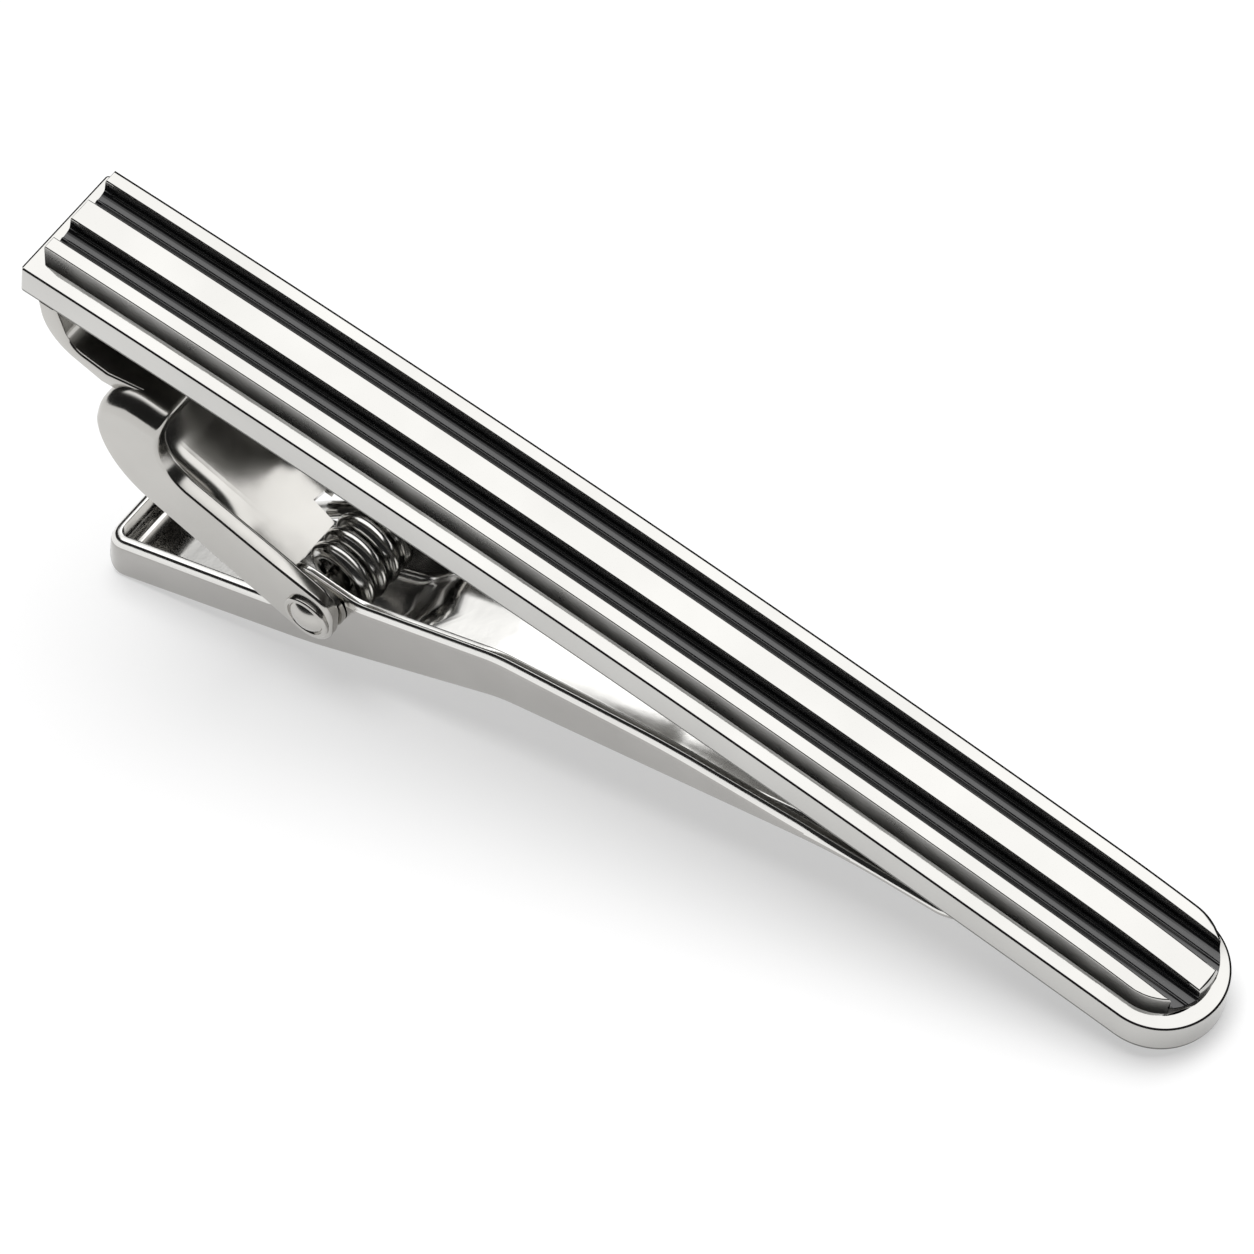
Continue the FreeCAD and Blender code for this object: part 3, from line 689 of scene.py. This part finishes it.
def on_side(place, y):
    """Points of a side outline, given by row and column, at a distance y across."""
    y = np.broadcast_to(y, place.shape[:2])
    return np.stack([place[..., 0], y, place[..., 1]], -1)


def between(first, last, columns):
    """Columns of points from one outline to another."""
    share = np.linspace(0, 1, columns)[None, :, None]
    return first[:, None] + share * (last - first)[:, None]


def in_from(outline, normal, depth):
    """Points of an outline, by row and column, moved along its normals by a depth."""
    depth = np.broadcast_to(depth, (len(outline), depth.shape[1]))
    return outline[:, None] + normal[:, None] * depth[..., None]


def mirrored(grid):
    """The same grid on the far side, with its columns in reverse."""
    return grid[:, ::-1] * np.array([1, -1, 1])


def scoop_outlines():
    """Side outlines of the scoop's outer skin and of its rim, from the mouth round to the ear's tip in
    matching rows, each with its normals: the skin's point into the sheet, the rim's out of it."""
    front = PIN_X + EAR_FRONT
    low_front = ear_edge(front, -EAR_HALF, EAR_LOWER_SLOPE)
    high_front = ear_edge(front, EAR_HALF, EAR_UPPER_SLOPE)
    tip = (front, (low_front + high_front) / 2, 0)
    skin = rounded_path([
        (MOUTH_X - SHEET_EDGE, -WEB_DEPTH, 0), (BACK_X, -WEB_DEPTH, SHOULDER),
        (BACK_X, ear_edge(BACK_X, -EAR_HALF, EAR_LOWER_SLOPE), HEEL), (front, low_front, EAR_CORNER), tip,
    ], SCOOP_ARC)
    rim = rounded_path([
        (MOUTH_X, -WEB_DEPTH - BEND, 0),
        (MOUTH_X, ear_edge(MOUTH_X, EAR_HALF, EAR_UPPER_SLOPE), MOUTH_RADIUS),
        (front, high_front, EAR_CORNER), tip,
    ], SCOOP_ARC)
    skin_marks = [(SCOOP_ARC + 1, None), (2 * SCOOP_ARC, None), (2 * SCOOP_ARC, FLOOR_END)]
    rim_marks = [(SCOOP_ARC // 2, None), (SCOOP_ARC, None), (SCOOP_ARC, RIM_AT_FLOOR_END)]
    return *stations(skin, skin_marks, SCOOP_ROWS), *stations(rim, rim_marks, SCOOP_ROWS)


def rim_section(lean_share, turn):
    """Section of the scoop's rim, as the distance across and the drop of its outer and its inner rounding.
    Between the two it leans outwards, and where the share of the lean is 0 it is level, with both roundings
    alike."""
    lean = RIM_LEAN * lean_share
    out_edge, in_edge = [
        SHEET_EDGE + (edge - SHEET_EDGE) * lean_share for edge in (RIM_OUT_EDGE, RIM_IN_EDGE)
    ]
    out_turn = turn * (1 - 2 * lean / math.pi)
    in_turn = turn * (1 + 2 * lean / math.pi)
    flat = SHEET - out_edge * (1 - np.sin(lean)) - in_edge * (1 + np.sin(lean))
    low = flat * np.tan(lean) + in_edge * (1 - np.cos(lean))
    out_y = out_edge * (1 - np.cos(out_turn)) - BRACKET_HALF
    out_drop = low + out_edge * (np.cos(lean) - np.sin(out_turn))
    in_y = in_edge * (np.cos(in_turn) - 1) - (BRACKET_HALF - SHEET)
    in_drop = in_edge * (1 - np.sin(in_turn))
    return out_y, out_drop, in_y, in_drop


def make_scoop():
    """Formed sheet in rows from the mouth round the back to the ears. Each row is a channel section:
    rounded rim, side, bend, bottom, bend, side, rim and the dished inside. Past the floor's end the rows go
    on as two ears."""
    skin, inward, rim, outward = scoop_outlines()
    rows = np.arange(len(skin), dtype=float)[:, None]
    heel, run, end = np.cumsum(np.array(SCOOP_ROWS[:3]) - 1)
    fading, level = [run + share * (end - run) for share in DISH_FADE]
    settled = (level + end) / 2
    to_heel = ease(rows, 0, heel)
    to_tip = ease(rows, end, len(skin) - 1)

    bend = BEND + (SHEET_EDGE - BEND) * ease(rows, BEND_FADE[0] * heel, BEND_FADE[1] * heel)
    sheet = WEB_SHEET + (SHEET - WEB_SHEET) * to_heel
    sheet = sheet + (SHEET_EDGE - sheet) * to_tip
    thin = BEND - WEB_SHEET
    dish = thin + (DISH - thin) * ease(rows, DISH_RISE[0] * heel, DISH_RISE[1] * heel)
    dish = dish * (1 - ease(rows, fading, level))
    near_span, far_span = [
        (thin + (wide - thin) * to_heel) * (1 - ease(rows, level, settled))
        for wide in (NEAR_SPAN, FAR_SPAN)
    ]
    tuck = SHEET_EDGE * to_tip
    turn = quarter(EDGE_COLUMNS)[None, :]
    inner = BRACKET_HALF - SHEET

    # Columns across the floor, each with how far it runs on past the floor's end: the tongue and two tabs
    under, reach = np.array([
        (-inner, 0), (-TONGUE_NEAR - 2 * TONGUE_SIDE, 0), (-TONGUE_NEAR, 0),
        (TONGUE_SIDE - TONGUE_NEAR, TONGUE), (-inner / 4, TONGUE), (0, TONGUE), (inner / 6, TONGUE),
        (TONGUE_FAR - TONGUE_SIDE, TONGUE), (TONGUE_FAR, 0), (LEG_SIDE, LEG_TAB),
        (LEG_SIDE + TONGUE_SIDE / 4, FAR_TAB), (inner, 0),
    ]).T[:, None]
    slide = (reach * ease(rows, settled, end))[..., None]
    slide = slide * np.array([math.cos(EAR_LOWER_SLOPE), math.sin(EAR_LOWER_SLOPE)])

    out_y, out_drop, in_y, in_drop = rim_section(to_heel * (1 - to_tip), turn)
    rim_out = on_side(in_from(rim, -outward, out_drop), out_y)
    rim_in = on_side(in_from(rim, -outward, in_drop), in_y)
    edge = np.concatenate([rim_out, rim_in[:, ::-1]], 1)
    side = between(rim - outward * out_drop[:, :1], skin + inward * bend, SIDE_COLUMNS)
    side = on_side(side, -BRACKET_HALF)
    corner = in_from(skin, inward, bend * (1 - np.sin(turn)))
    corner = on_side(corner, bend - BRACKET_HALF - bend * np.cos(turn))
    bottom = on_side(skin[:, None] + slide, under * (BRACKET_HALF - bend) / (BRACKET_HALF - SHEET_EDGE))
    wall = between(rim - outward * in_drop[:, :1], skin + inward * (sheet + dish), SIDE_COLUMNS)
    wall = on_side(wall, -inner)
    dished = in_from(skin, inward, sheet + dish * (1 - np.sin(turn)))
    near_dish, far_dish = [
        on_side(dished, span - inner - span * np.cos(turn)) for span in (near_span, far_span)
    ]
    far_dish = mirrored(far_dish)
    share = (under + inner) / (2 * inner)
    floor_y = (near_span - inner) * (1 - share) + (inner - far_span) * share
    floor = on_side((skin + inward * sheet)[:, None] + slide, floor_y)[:, 1:-1]

    outside = np.concatenate([side, corner, bottom, mirrored(corner), mirrored(side)], 1)[:end + 1]
    inside = np.concatenate([wall, near_dish, floor, far_dish, mirrored(wall)], 1)[:end + 1]
    floor_edge = np.concatenate([near_dish[end, :1], floor[end], far_dish[end, -1:]])
    floor_end = np.stack([bottom[end], floor_edge])

    # The mouth's lip joins the outer and the inner sheet by two roundings
    shell_out = np.concatenate([corner, bottom, mirrored(corner)], 1)[0]
    shell_in = np.concatenate([near_dish, near_dish[:, -1:], floor, far_dish[:, :1], far_dish], 1)[0]
    through = shell_in - shell_out
    through /= np.linalg.norm(through, axis=1)[:, None]
    lip = quarter(EDGE_COLUMNS)[:, None, None]
    ahead = SHEET_EDGE * np.sin(lip) * np.array([1, 0, 0])
    drawn = SHEET_EDGE * (1 - np.cos(lip)) * through
    mouth = np.concatenate([shell_out + ahead + drawn, (shell_in + ahead - drawn)[::-1]])

    # An ear goes round its side, its lower edge and its inner wall
    tucked = in_from(skin, inward, tuck * (1 - np.cos(turn)))
    tucked = on_side(tucked, tuck * np.sin(turn) - inner - tuck)
    skirt = on_side(between(skin + inward * tuck, skin + inward * sheet, 2), -inner)
    ear = np.concatenate([side, corner, tucked, skirt, wall[:, ::-1]], 1)[end:]
    grids = [outside, inside, edge, mirrored(edge), mouth, floor_end, ear, mirrored(ear)]
    return [(grid, False) for grid in grids]


def make_neck():
    """Strip from the bar's back round to the web: a section with rounded edges between two side outlines,
    a little narrower where it ends inside the web."""
    end = BACK_X + SHOULDER
    ends = (-WEB_DEPTH - NECK_SHEET, -WEB_DEPTH - NECK_EDGE / 4)
    outer, inner = [
        rounded_path([(foot, bar_back(foot) + NECK_SUNK, 0), corner, (end, end_z, 0)], NECK_ARC)
        for foot, corner, end_z in zip(FOOT_X, (NECK_OUTER, NECK_INNER), ends)
    ]
    outer, inner = [
        np.insert(path, -1, path[-2] + (path[-1] - path[-2]) * NECK_KNEE, 0) for path in (outer, inner)
    ]
    half = np.full((len(outer), 1), NECK_HALF)
    half[-1] = NECK_END_HALF
    way = inner - outer
    way /= np.linalg.norm(way, axis=1)[:, None]
    turn = quarter(NECK_EDGE_STEPS)[None, :]
    depth = NECK_EDGE * (1 - np.sin(turn))
    edge_y = NECK_EDGE * (1 - np.cos(turn)) - half
    low = on_side(in_from(outer, way, depth), edge_y)[:, ::-1]
    high = on_side(in_from(inner, -way, depth), edge_y)
    loop = np.concatenate([low, high, mirrored(high), mirrored(low)], 1)
    first, last = [np.broadcast_to(loop[k].mean(0), loop[k].shape)[None] for k in (0, -1)]
    return [(np.concatenate([first, loop, last]), True)]


def make_bracket(finish):
    """The formed scoop and its neck."""
    return make_piece("formed_bracket", make_scoop() + make_neck(), finish)


def make_pin(finish):
    """A rivet turned about the pin's axis: shank, then at each end a rounded flange, a parting line and a
    dome."""
    turn = quarter(FLANGE_STEPS)
    sphere = (DOME_RADIUS ** 2 + DOME_HEIGHT ** 2) / (2 * DOME_HEIGHT)
    dome = DOME_RADIUS * (1 - np.linspace(0, 1, DOME_STEPS))
    foot = HEAD_HEIGHT - DOME_HEIGHT
    rise = foot + DOME_HEIGHT - sphere + np.sqrt(sphere ** 2 - dome ** 2)
    radius = np.concatenate([
        [PIN_RADIUS, HEAD_RADIUS], HEAD_RADIUS - FLANGE_EDGE * (1 - np.cos(turn)),
        [DOME_RADIUS + 2 * PARTING, DOME_RADIUS + PARTING], dome,
    ])
    height = np.concatenate([[0, 0], FLANGE - FLANGE_EDGE * (1 - np.sin(turn)), [FLANGE, foot], rise])
    across = BRACKET_HALF + height
    radius = np.concatenate([radius[::-1], radius])[:, None]
    across = np.concatenate([-across[::-1], across])[:, None]
    angle = np.linspace(0, 2 * math.pi, PIN_SIDES, endpoint=False)
    x = PIN_X + radius * np.cos(angle)
    z = PIN_Z + radius * np.sin(angle)
    grid = np.stack([x, across + 0 * angle, z], -1)
    return make_piece("rivet_pin", [(grid, True)], finish)


def tube(path, radius):
    """Rings square to a path, with one axis square to Y, and both ends closed by rings that shrink."""
    way = np.gradient(path, axis=0)
    way /= np.linalg.norm(way, axis=1)[:, None]
    normal = np.cross(way, [0, 1, 0])
    normal = normal / np.linalg.norm(normal, axis=1)[:, None]
    other = np.cross(way, normal)
    cap = quarter(WIRE_END_STEPS)[:-1]
    start = path[0] - way[0] * radius * WIRE_END * np.cos(cap)[:, None]
    finish = path[-1] + way[-1] * radius * WIRE_END * np.cos(cap[::-1])[:, None]
    centres = np.concatenate([start, path, finish])
    radii = radius * np.concatenate([np.sin(cap), np.ones(len(path)), np.sin(cap[::-1])])
    first, second = [
        np.concatenate([np.repeat(axis[:1], len(cap), 0), axis, np.repeat(axis[-1:], len(cap), 0)])[:, None]
        for axis in (normal, other)
    ]
    angle = np.linspace(0, 2 * math.pi, WIRE_SIDES, endpoint=False)[None, :, None]
    return centres[:, None] + radii[:, None, None] * (np.cos(angle) * first + np.sin(angle) * second)


def make_spring(finish):
    """Wire along one line: a straight upper leg, a helix about the pin and a straight lower leg. Seen along
    the pin, each leg is a tangent of the coil."""
    under = lever_paths()[0]
    upper_x = FLOOR_END + TONGUE
    upper_z = ear_edge(upper_x, -EAR_HALF, EAR_LOWER_SLOPE) - WIRE / 2 - SEAT_GAP
    lower_x = PIN_X - LOWER_LEG
    lower_z = np.interp(lower_x, under[:, 0], under[:, 1]) + LEVER_FLOOR + WIRE / 2 + SEAT_GAP

    def meet(x, z, side):
        """Angle on the coil where a tangent through a point touches it."""
        dx = x - PIN_X
        dz = z - PIN_Z
        return math.atan2(dz, dx) + side * math.acos(COIL_RADIUS / math.hypot(dx, dz))

    start = meet(upper_x, upper_z, 1)
    turn = (meet(lower_x, lower_z, -1) - start) % (2 * math.pi) + 2 * math.pi * COIL_TURNS
    share = np.linspace(0, 1, COIL_STATIONS)
    across = COIL_PITCH * turn / (2 * math.pi) * (share - 0.5) + COIL_SHIFT
    angle = start + turn * share
    coil = np.stack([PIN_X + COIL_RADIUS * np.cos(angle), across, PIN_Z + COIL_RADIUS * np.sin(angle)], -1)
    leg = np.linspace(0, 1, LEG_STATIONS)[:-1, None]
    upper_way = np.array([upper_x, across[0], upper_z]) - coil[0]
    upper_end = coil[0] + upper_way * UPPER_LEG / np.linalg.norm(upper_way)
    lower_end = np.array([lower_x, across[-1], lower_z])
    path = np.concatenate([
        upper_end + leg * (coil[0] - upper_end), coil, lower_end + leg[::-1] * (coil[-1] - lower_end),
    ])
    return make_piece("hinge_spring", [(tube(path, WIRE / 2), True)], finish)


def linear(hex_colour):
    """An sRGB hex colour as linear red, green, blue and a full alpha."""
    srgb = np.array([int(hex_colour[i:i + 2], 16) for i in (1, 3, 5)]) / 255
    light = np.where(srgb <= 0.04045, srgb / 12.92, ((srgb + 0.055) / 1.055) ** 2.4)
    return (*light.tolist(), 1.0)


def add(tree, kind, values=None, links=None, **settings):
    """A node with its settings, its socket values and the sockets that feed it."""
    node = tree.nodes.new(kind)
    for name, value in settings.items():
        setattr(node, name, value)
    for socket, value in (values or {}).items():
        node.inputs[socket].default_value = value
    for socket, source in (links or {}).items():
        tree.links.new(source, node.inputs[socket])
    return node


def per_metre(size_mm):
    """Pattern scale whose features are about this many millimetres."""
    return 1 / (size_mm * MM)


def noise_finish(name, fixed, tints, patterns, relief=(0, 0)):
    """A finish with fixed sockets, and others that each follow a noise with a size in millimetres, a detail
    and a range. The colour runs between two tints, and the normal is a bump with a strength and a depth."""
    material = bpy.data.materials.new(name)
    material.use_nodes = True
    tree = material.node_tree
    shader = tree.nodes["Principled BSDF"]
    for socket, value in fixed.items():
        shader.inputs[socket].default_value = value
    place = add(tree, "ShaderNodeTexCoord").outputs["Object"]
    for socket, (size_mm, detail, low, high) in patterns.items():
        noise = add(
            tree, "ShaderNodeTexNoise", {"Scale": per_metre(size_mm), "Detail": detail}, {"Vector": place},
        ).outputs["Fac"]
        follow = add(
            tree, "ShaderNodeMapRange",
            {"From Min": NOISE_LOW, "From Max": NOISE_HIGH, "To Min": low, "To Max": high},
            {"Value": noise},
        ).outputs["Result"]
        if socket == "Base Color":
            dark, light = tints
            follow = add(
                tree, "ShaderNodeMix", {MIX_DARK: linear(dark), MIX_LIGHT: linear(light)},
                {MIX_FACTOR: follow}, data_type="RGBA",
            ).outputs[MIX_COLOUR]
        if socket == "Normal":
            strength, depth_mm = relief
            follow = add(
                tree, "ShaderNodeBump", {"Strength": strength, "Distance": depth_mm * MM},
                {"Height": follow},
            ).outputs["Normal"]
        tree.links.new(follow, shader.inputs[socket])
    return material


def plated_metal(name, dark, light, smooth, dull):
    """Chrome plating: a cool mirror, with faint buffing waves and handling haze that only show where a
    reflection breaks."""
    return noise_finish(name, {"Metallic": 1.0}, (dark, light), {
        "Base Color": (HAZE_SIZE, FINE_DETAIL, 0, 1),
        "Roughness": (WEAR_SIZE, FINE_DETAIL, smooth, dull),
        "Normal": (BUFFING_SIZE, FINE_DETAIL, 0, 1),
    }, BUFFING_RELIEF)


def black_enamel():
    """Gloss black cold enamel, poured and cured: deep black under a clear flow-out skin with slight orange
    peel."""
    fixed = {"Coat Weight": 1.0, "Coat Roughness": 0.04, "IOR": 1.52}
    return noise_finish("black_cold_enamel", fixed, ("#050506", "#0C0C0E"), {
        "Base Color": (FLOW_SIZE, FINE_DETAIL, 0, 1),
        "Roughness": (GLOSS_SIZE, FINE_DETAIL, 0.14, 0.24),
        "Normal": (PEEL_SIZE, PLAIN_DETAIL, 0, 1),
    }, PEEL_RELIEF)


def smooth_to_creases():
    """Shade smooth wherever the faces on both sides of an edge turn by less than the crease."""
    group = bpy.data.node_groups.new("smooth_to_creases", "GeometryNodeTree")
    group.interface.new_socket("Geometry", in_out="INPUT", socket_type="NodeSocketGeometry")
    group.interface.new_socket("Geometry", in_out="OUTPUT", socket_type="NodeSocketGeometry")
    shape = add(group, "NodeGroupInput").outputs["Geometry"]
    turn = add(group, "GeometryNodeInputMeshEdgeAngle").outputs["Unsigned Angle"]
    gentle = add(
        group, "FunctionNodeCompare", {"B": CREASE}, {"A": turn}, operation="LESS_THAN",
    ).outputs["Result"]
    faces = add(
        group, "GeometryNodeSetShadeSmooth", {"Shade Smooth": True}, {"Geometry": shape}, domain="FACE",
    )
    edges = add(
        group, "GeometryNodeSetShadeSmooth", None,
        {"Geometry": faces.outputs["Geometry"], "Shade Smooth": gentle}, domain="EDGE",
    )
    add(group, "NodeGroupOutput", None, {"Geometry": edges.outputs["Geometry"]})
    return group


def dress_washer(washer, finish, group):
    """A washer's finish, with its facets joined and shaded smooth up to its real creases."""
    washer.data.materials.clear()
    washer.data.materials.append(finish)
    join = washer.modifiers.new("join_facets", "WELD")
    join.merge_threshold = FACET_GAP * MM
    shade = washer.modifiers.new("smooth_to_creases", "NODES")
    shade.node_group = group
    even = washer.modifiers.new("even_faces", "WEIGHTED_NORMAL")
    even.keep_sharp = True


def make_clip():
    """Every piece in its finish, and the new pieces of the frame and the lever on their bodies."""
    # Polished chrome on the bar and its ridges: a hard, clear mirror
    bar_finish = plated_metal("chrome_plate_mirror_polished", "#BFBEBB", "#C7C6C3", 0.03, 0.06)
    # Brushed chrome on the bar's back, which isn't polished: dull, with no clear image. Its dark colour
    # is painted shade on the back and the rounded lower edge: what mirrors the back shows dark, and a
    # dark line runs along the bar's lower edge
    back_painted_shade_finish = plated_metal("chrome_plate_back_painted_shade", "#686764", "#767572", 0.3, 0.4)
    # Satin chrome on the plate's flanks, which the wheel barely reaches: soft grey bands
    flank_finish = plated_metal("chrome_plate_satin_flank", "#A3A29F", "#B1B0AD", 0.26, 0.34)
    # Tumbled chrome on the bracket, the pin and the washers: bright, with slightly soft reflections
    frame_finish = plated_metal("chrome_plate_tumbled", "#B5B3AF", "#BFBDB9", 0.13, 0.2)
    # Chrome over stamped steel on the lever's outside: as soft as the bracket, and a little greyer as
    # painted shade, standing for the shadowed floor that the lever's sides mirror
    lever_painted_shade_finish = plated_metal("stamped_steel_chrome_plate_painted_shade", "#A7A5A2", "#B1AFAC", 0.13, 0.2)
    # Buffed chrome on the lever's rim and tray: the brightest metal, a white line round the lever, which
    # is a painted highlight on the faces that face up
    tray_painted_highlight_finish = plated_metal("chrome_plate_tray_painted_highlight", "#DDDCD9", "#E5E4E1", 0.1, 0.16)
    # Plated spring wire, smooth from drawing: a bright line along each turn
    wire_finish = plated_metal("drawn_spring_steel_plated", "#C9C8C5", "#D6D5D2", 0.14, 0.22)
    enamel = black_enamel()
    for piece, node in (
        (make_bar(bar_finish, back_painted_shade_finish), "front_bar"),
        (make_plate(bar_finish, flank_finish), "ridged_face_plate"),
        (make_enamel("enamel_near", -1, enamel), "enamel_strip_near"),
        (make_enamel("enamel_far", 1, enamel), "enamel_strip_far"),
        (make_bracket(frame_finish), "hinge_bracket"),
        (make_pin(frame_finish), "hinge_pin"),
    ):
        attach(piece, "clip_frame")
        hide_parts(node)
    lever = make_lever(lever_painted_shade_finish, tray_painted_highlight_finish)
    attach(lever, "lever")
    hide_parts("clip_lever")
    spring = make_spring(wire_finish)
    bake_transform(spring)
    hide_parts("torsion_spring")
    group = smooth_to_creases()
    for name in ("pivot_washer_near", "pivot_washer_far"):
        dress_washer(frame["nodes"][name], frame_finish, group)


def place_camera():
    """The photograph's view: a camera's place and axes in the clip's own frame, laid down with it."""
    forward = laid(FORWARD)
    right = laid(RIGHT)
    axes = np.eye(4)
    axes[:3, 0] = right
    axes[:3, 1] = np.cross(right, forward)
    axes[:3, 2] = -forward
    axes[:3, 3] = lay_down(EYE)
    camera = bpy.data.objects.new("camera", bpy.data.cameras.new("camera"))
    camera.data.lens = LENS
    camera.data.sensor_width = SENSOR
    camera.matrix_world = Matrix(axes.tolist())
    bpy.context.scene.collection.objects.link(camera)
    bpy.context.scene.camera = camera


def light_room():
    """One broad overhead panel in a dark room, which the polished faces mirror. A direction is on the panel
    by its height and by its tangents along X and Y. What the camera sees past the sweep is plain white."""
    scene = bpy.context.scene
    scene.view_settings.view_transform = "Standard"
    world = bpy.data.worlds.new("studio")
    scene.world = world
    world.use_nodes = True
    world.cycles_visibility.diffuse = False
    tree = world.node_tree
    way = add(tree, "ShaderNodeTexCoord").outputs["Generated"]
    split = add(tree, "ShaderNodeSeparateXYZ", None, {"Vector": way}).outputs
    low, high = PANEL_HEIGHT
    panel = add(
        tree, "ShaderNodeMapRange", {"From Min": low, "From Max": high, "To Min": 0, "To Max": PANEL_LIGHT},
        {"Value": split["Z"]}, interpolation_type="SMOOTHSTEP",
    ).outputs["Result"]
    for axis, outer, inner in PANEL_SIDES:
        tangent = add(
            tree, "ShaderNodeMath", None, {0: split[axis], 1: split["Z"]}, operation="DIVIDE",
        ).outputs[0]
        side = add(
            tree, "ShaderNodeMapRange", {"From Min": outer, "From Max": inner, "To Min": 0, "To Max": 1},
            {"Value": tangent}, interpolation_type="SMOOTHSTEP",
        ).outputs["Result"]
        panel = add(tree, "ShaderNodeMath", None, {0: panel, 1: side}, operation="MULTIPLY").outputs[0]
    room = add(tree, "ShaderNodeMath", {1: ROOM_LIGHT}, {0: panel}, operation="ADD").outputs[0]
    seen = add(tree, "ShaderNodeLightPath").outputs["Is Camera Ray"]
    light = add(tree, "ShaderNodeMath", None, {0: room, 1: seen}, operation="MAXIMUM").outputs[0]
    background = tree.nodes["Background"]
    background.inputs["Color"].default_value = linear("#FFFFFF")
    tree.links.new(light, background.inputs["Strength"])


def lay_sweep():
    """A white sweep, a flat square that glows a little, under a wide sun that mirrors don't show."""
    scene = bpy.context.scene
    lamp = bpy.data.objects.new("sweep_light", bpy.data.lights.new("sweep_light", "SUN"))
    lamp.data.angle = SWEEP_LIGHT_ANGLE
    lamp.data.energy = SWEEP_LIGHT
    lamp.rotation_euler = (SWEEP_LIGHT_TILT, 0, 0)
    lamp.visible_glossy = False
    scene.collection.objects.link(lamp)
    # Opal acrylic lit from behind: a matt white with no grain, clouded so faintly that it looks even
    acrylic = noise_finish("backlit_opal_acrylic", {
        "Roughness": 0.9, "Specular IOR Level": 0.1,
        "Emission Color": linear("#FFFFFF"), "Emission Strength": SWEEP_GLOW,
    }, ("#A8A8A8", "#ACACAC"), {"Base Color": (CLOUD_SIZE, FINE_DETAIL, 0, 1)})
    sheet = bpy.data.meshes.new("floor")
    corners = [(x * SWEEP_HALF, y * SWEEP_HALF, 0) for x, y in ((-1, -1), (1, -1), (1, 1), (-1, 1))]
    sheet.from_pydata(corners, [], [(0, 1, 2, 3)])
    sheet.materials.append(acrylic)
    floor = bpy.data.objects.new("floor", sheet)
    scene.collection.objects.link(floor)


make_clip()
place_camera()
light_room()
lay_sweep()
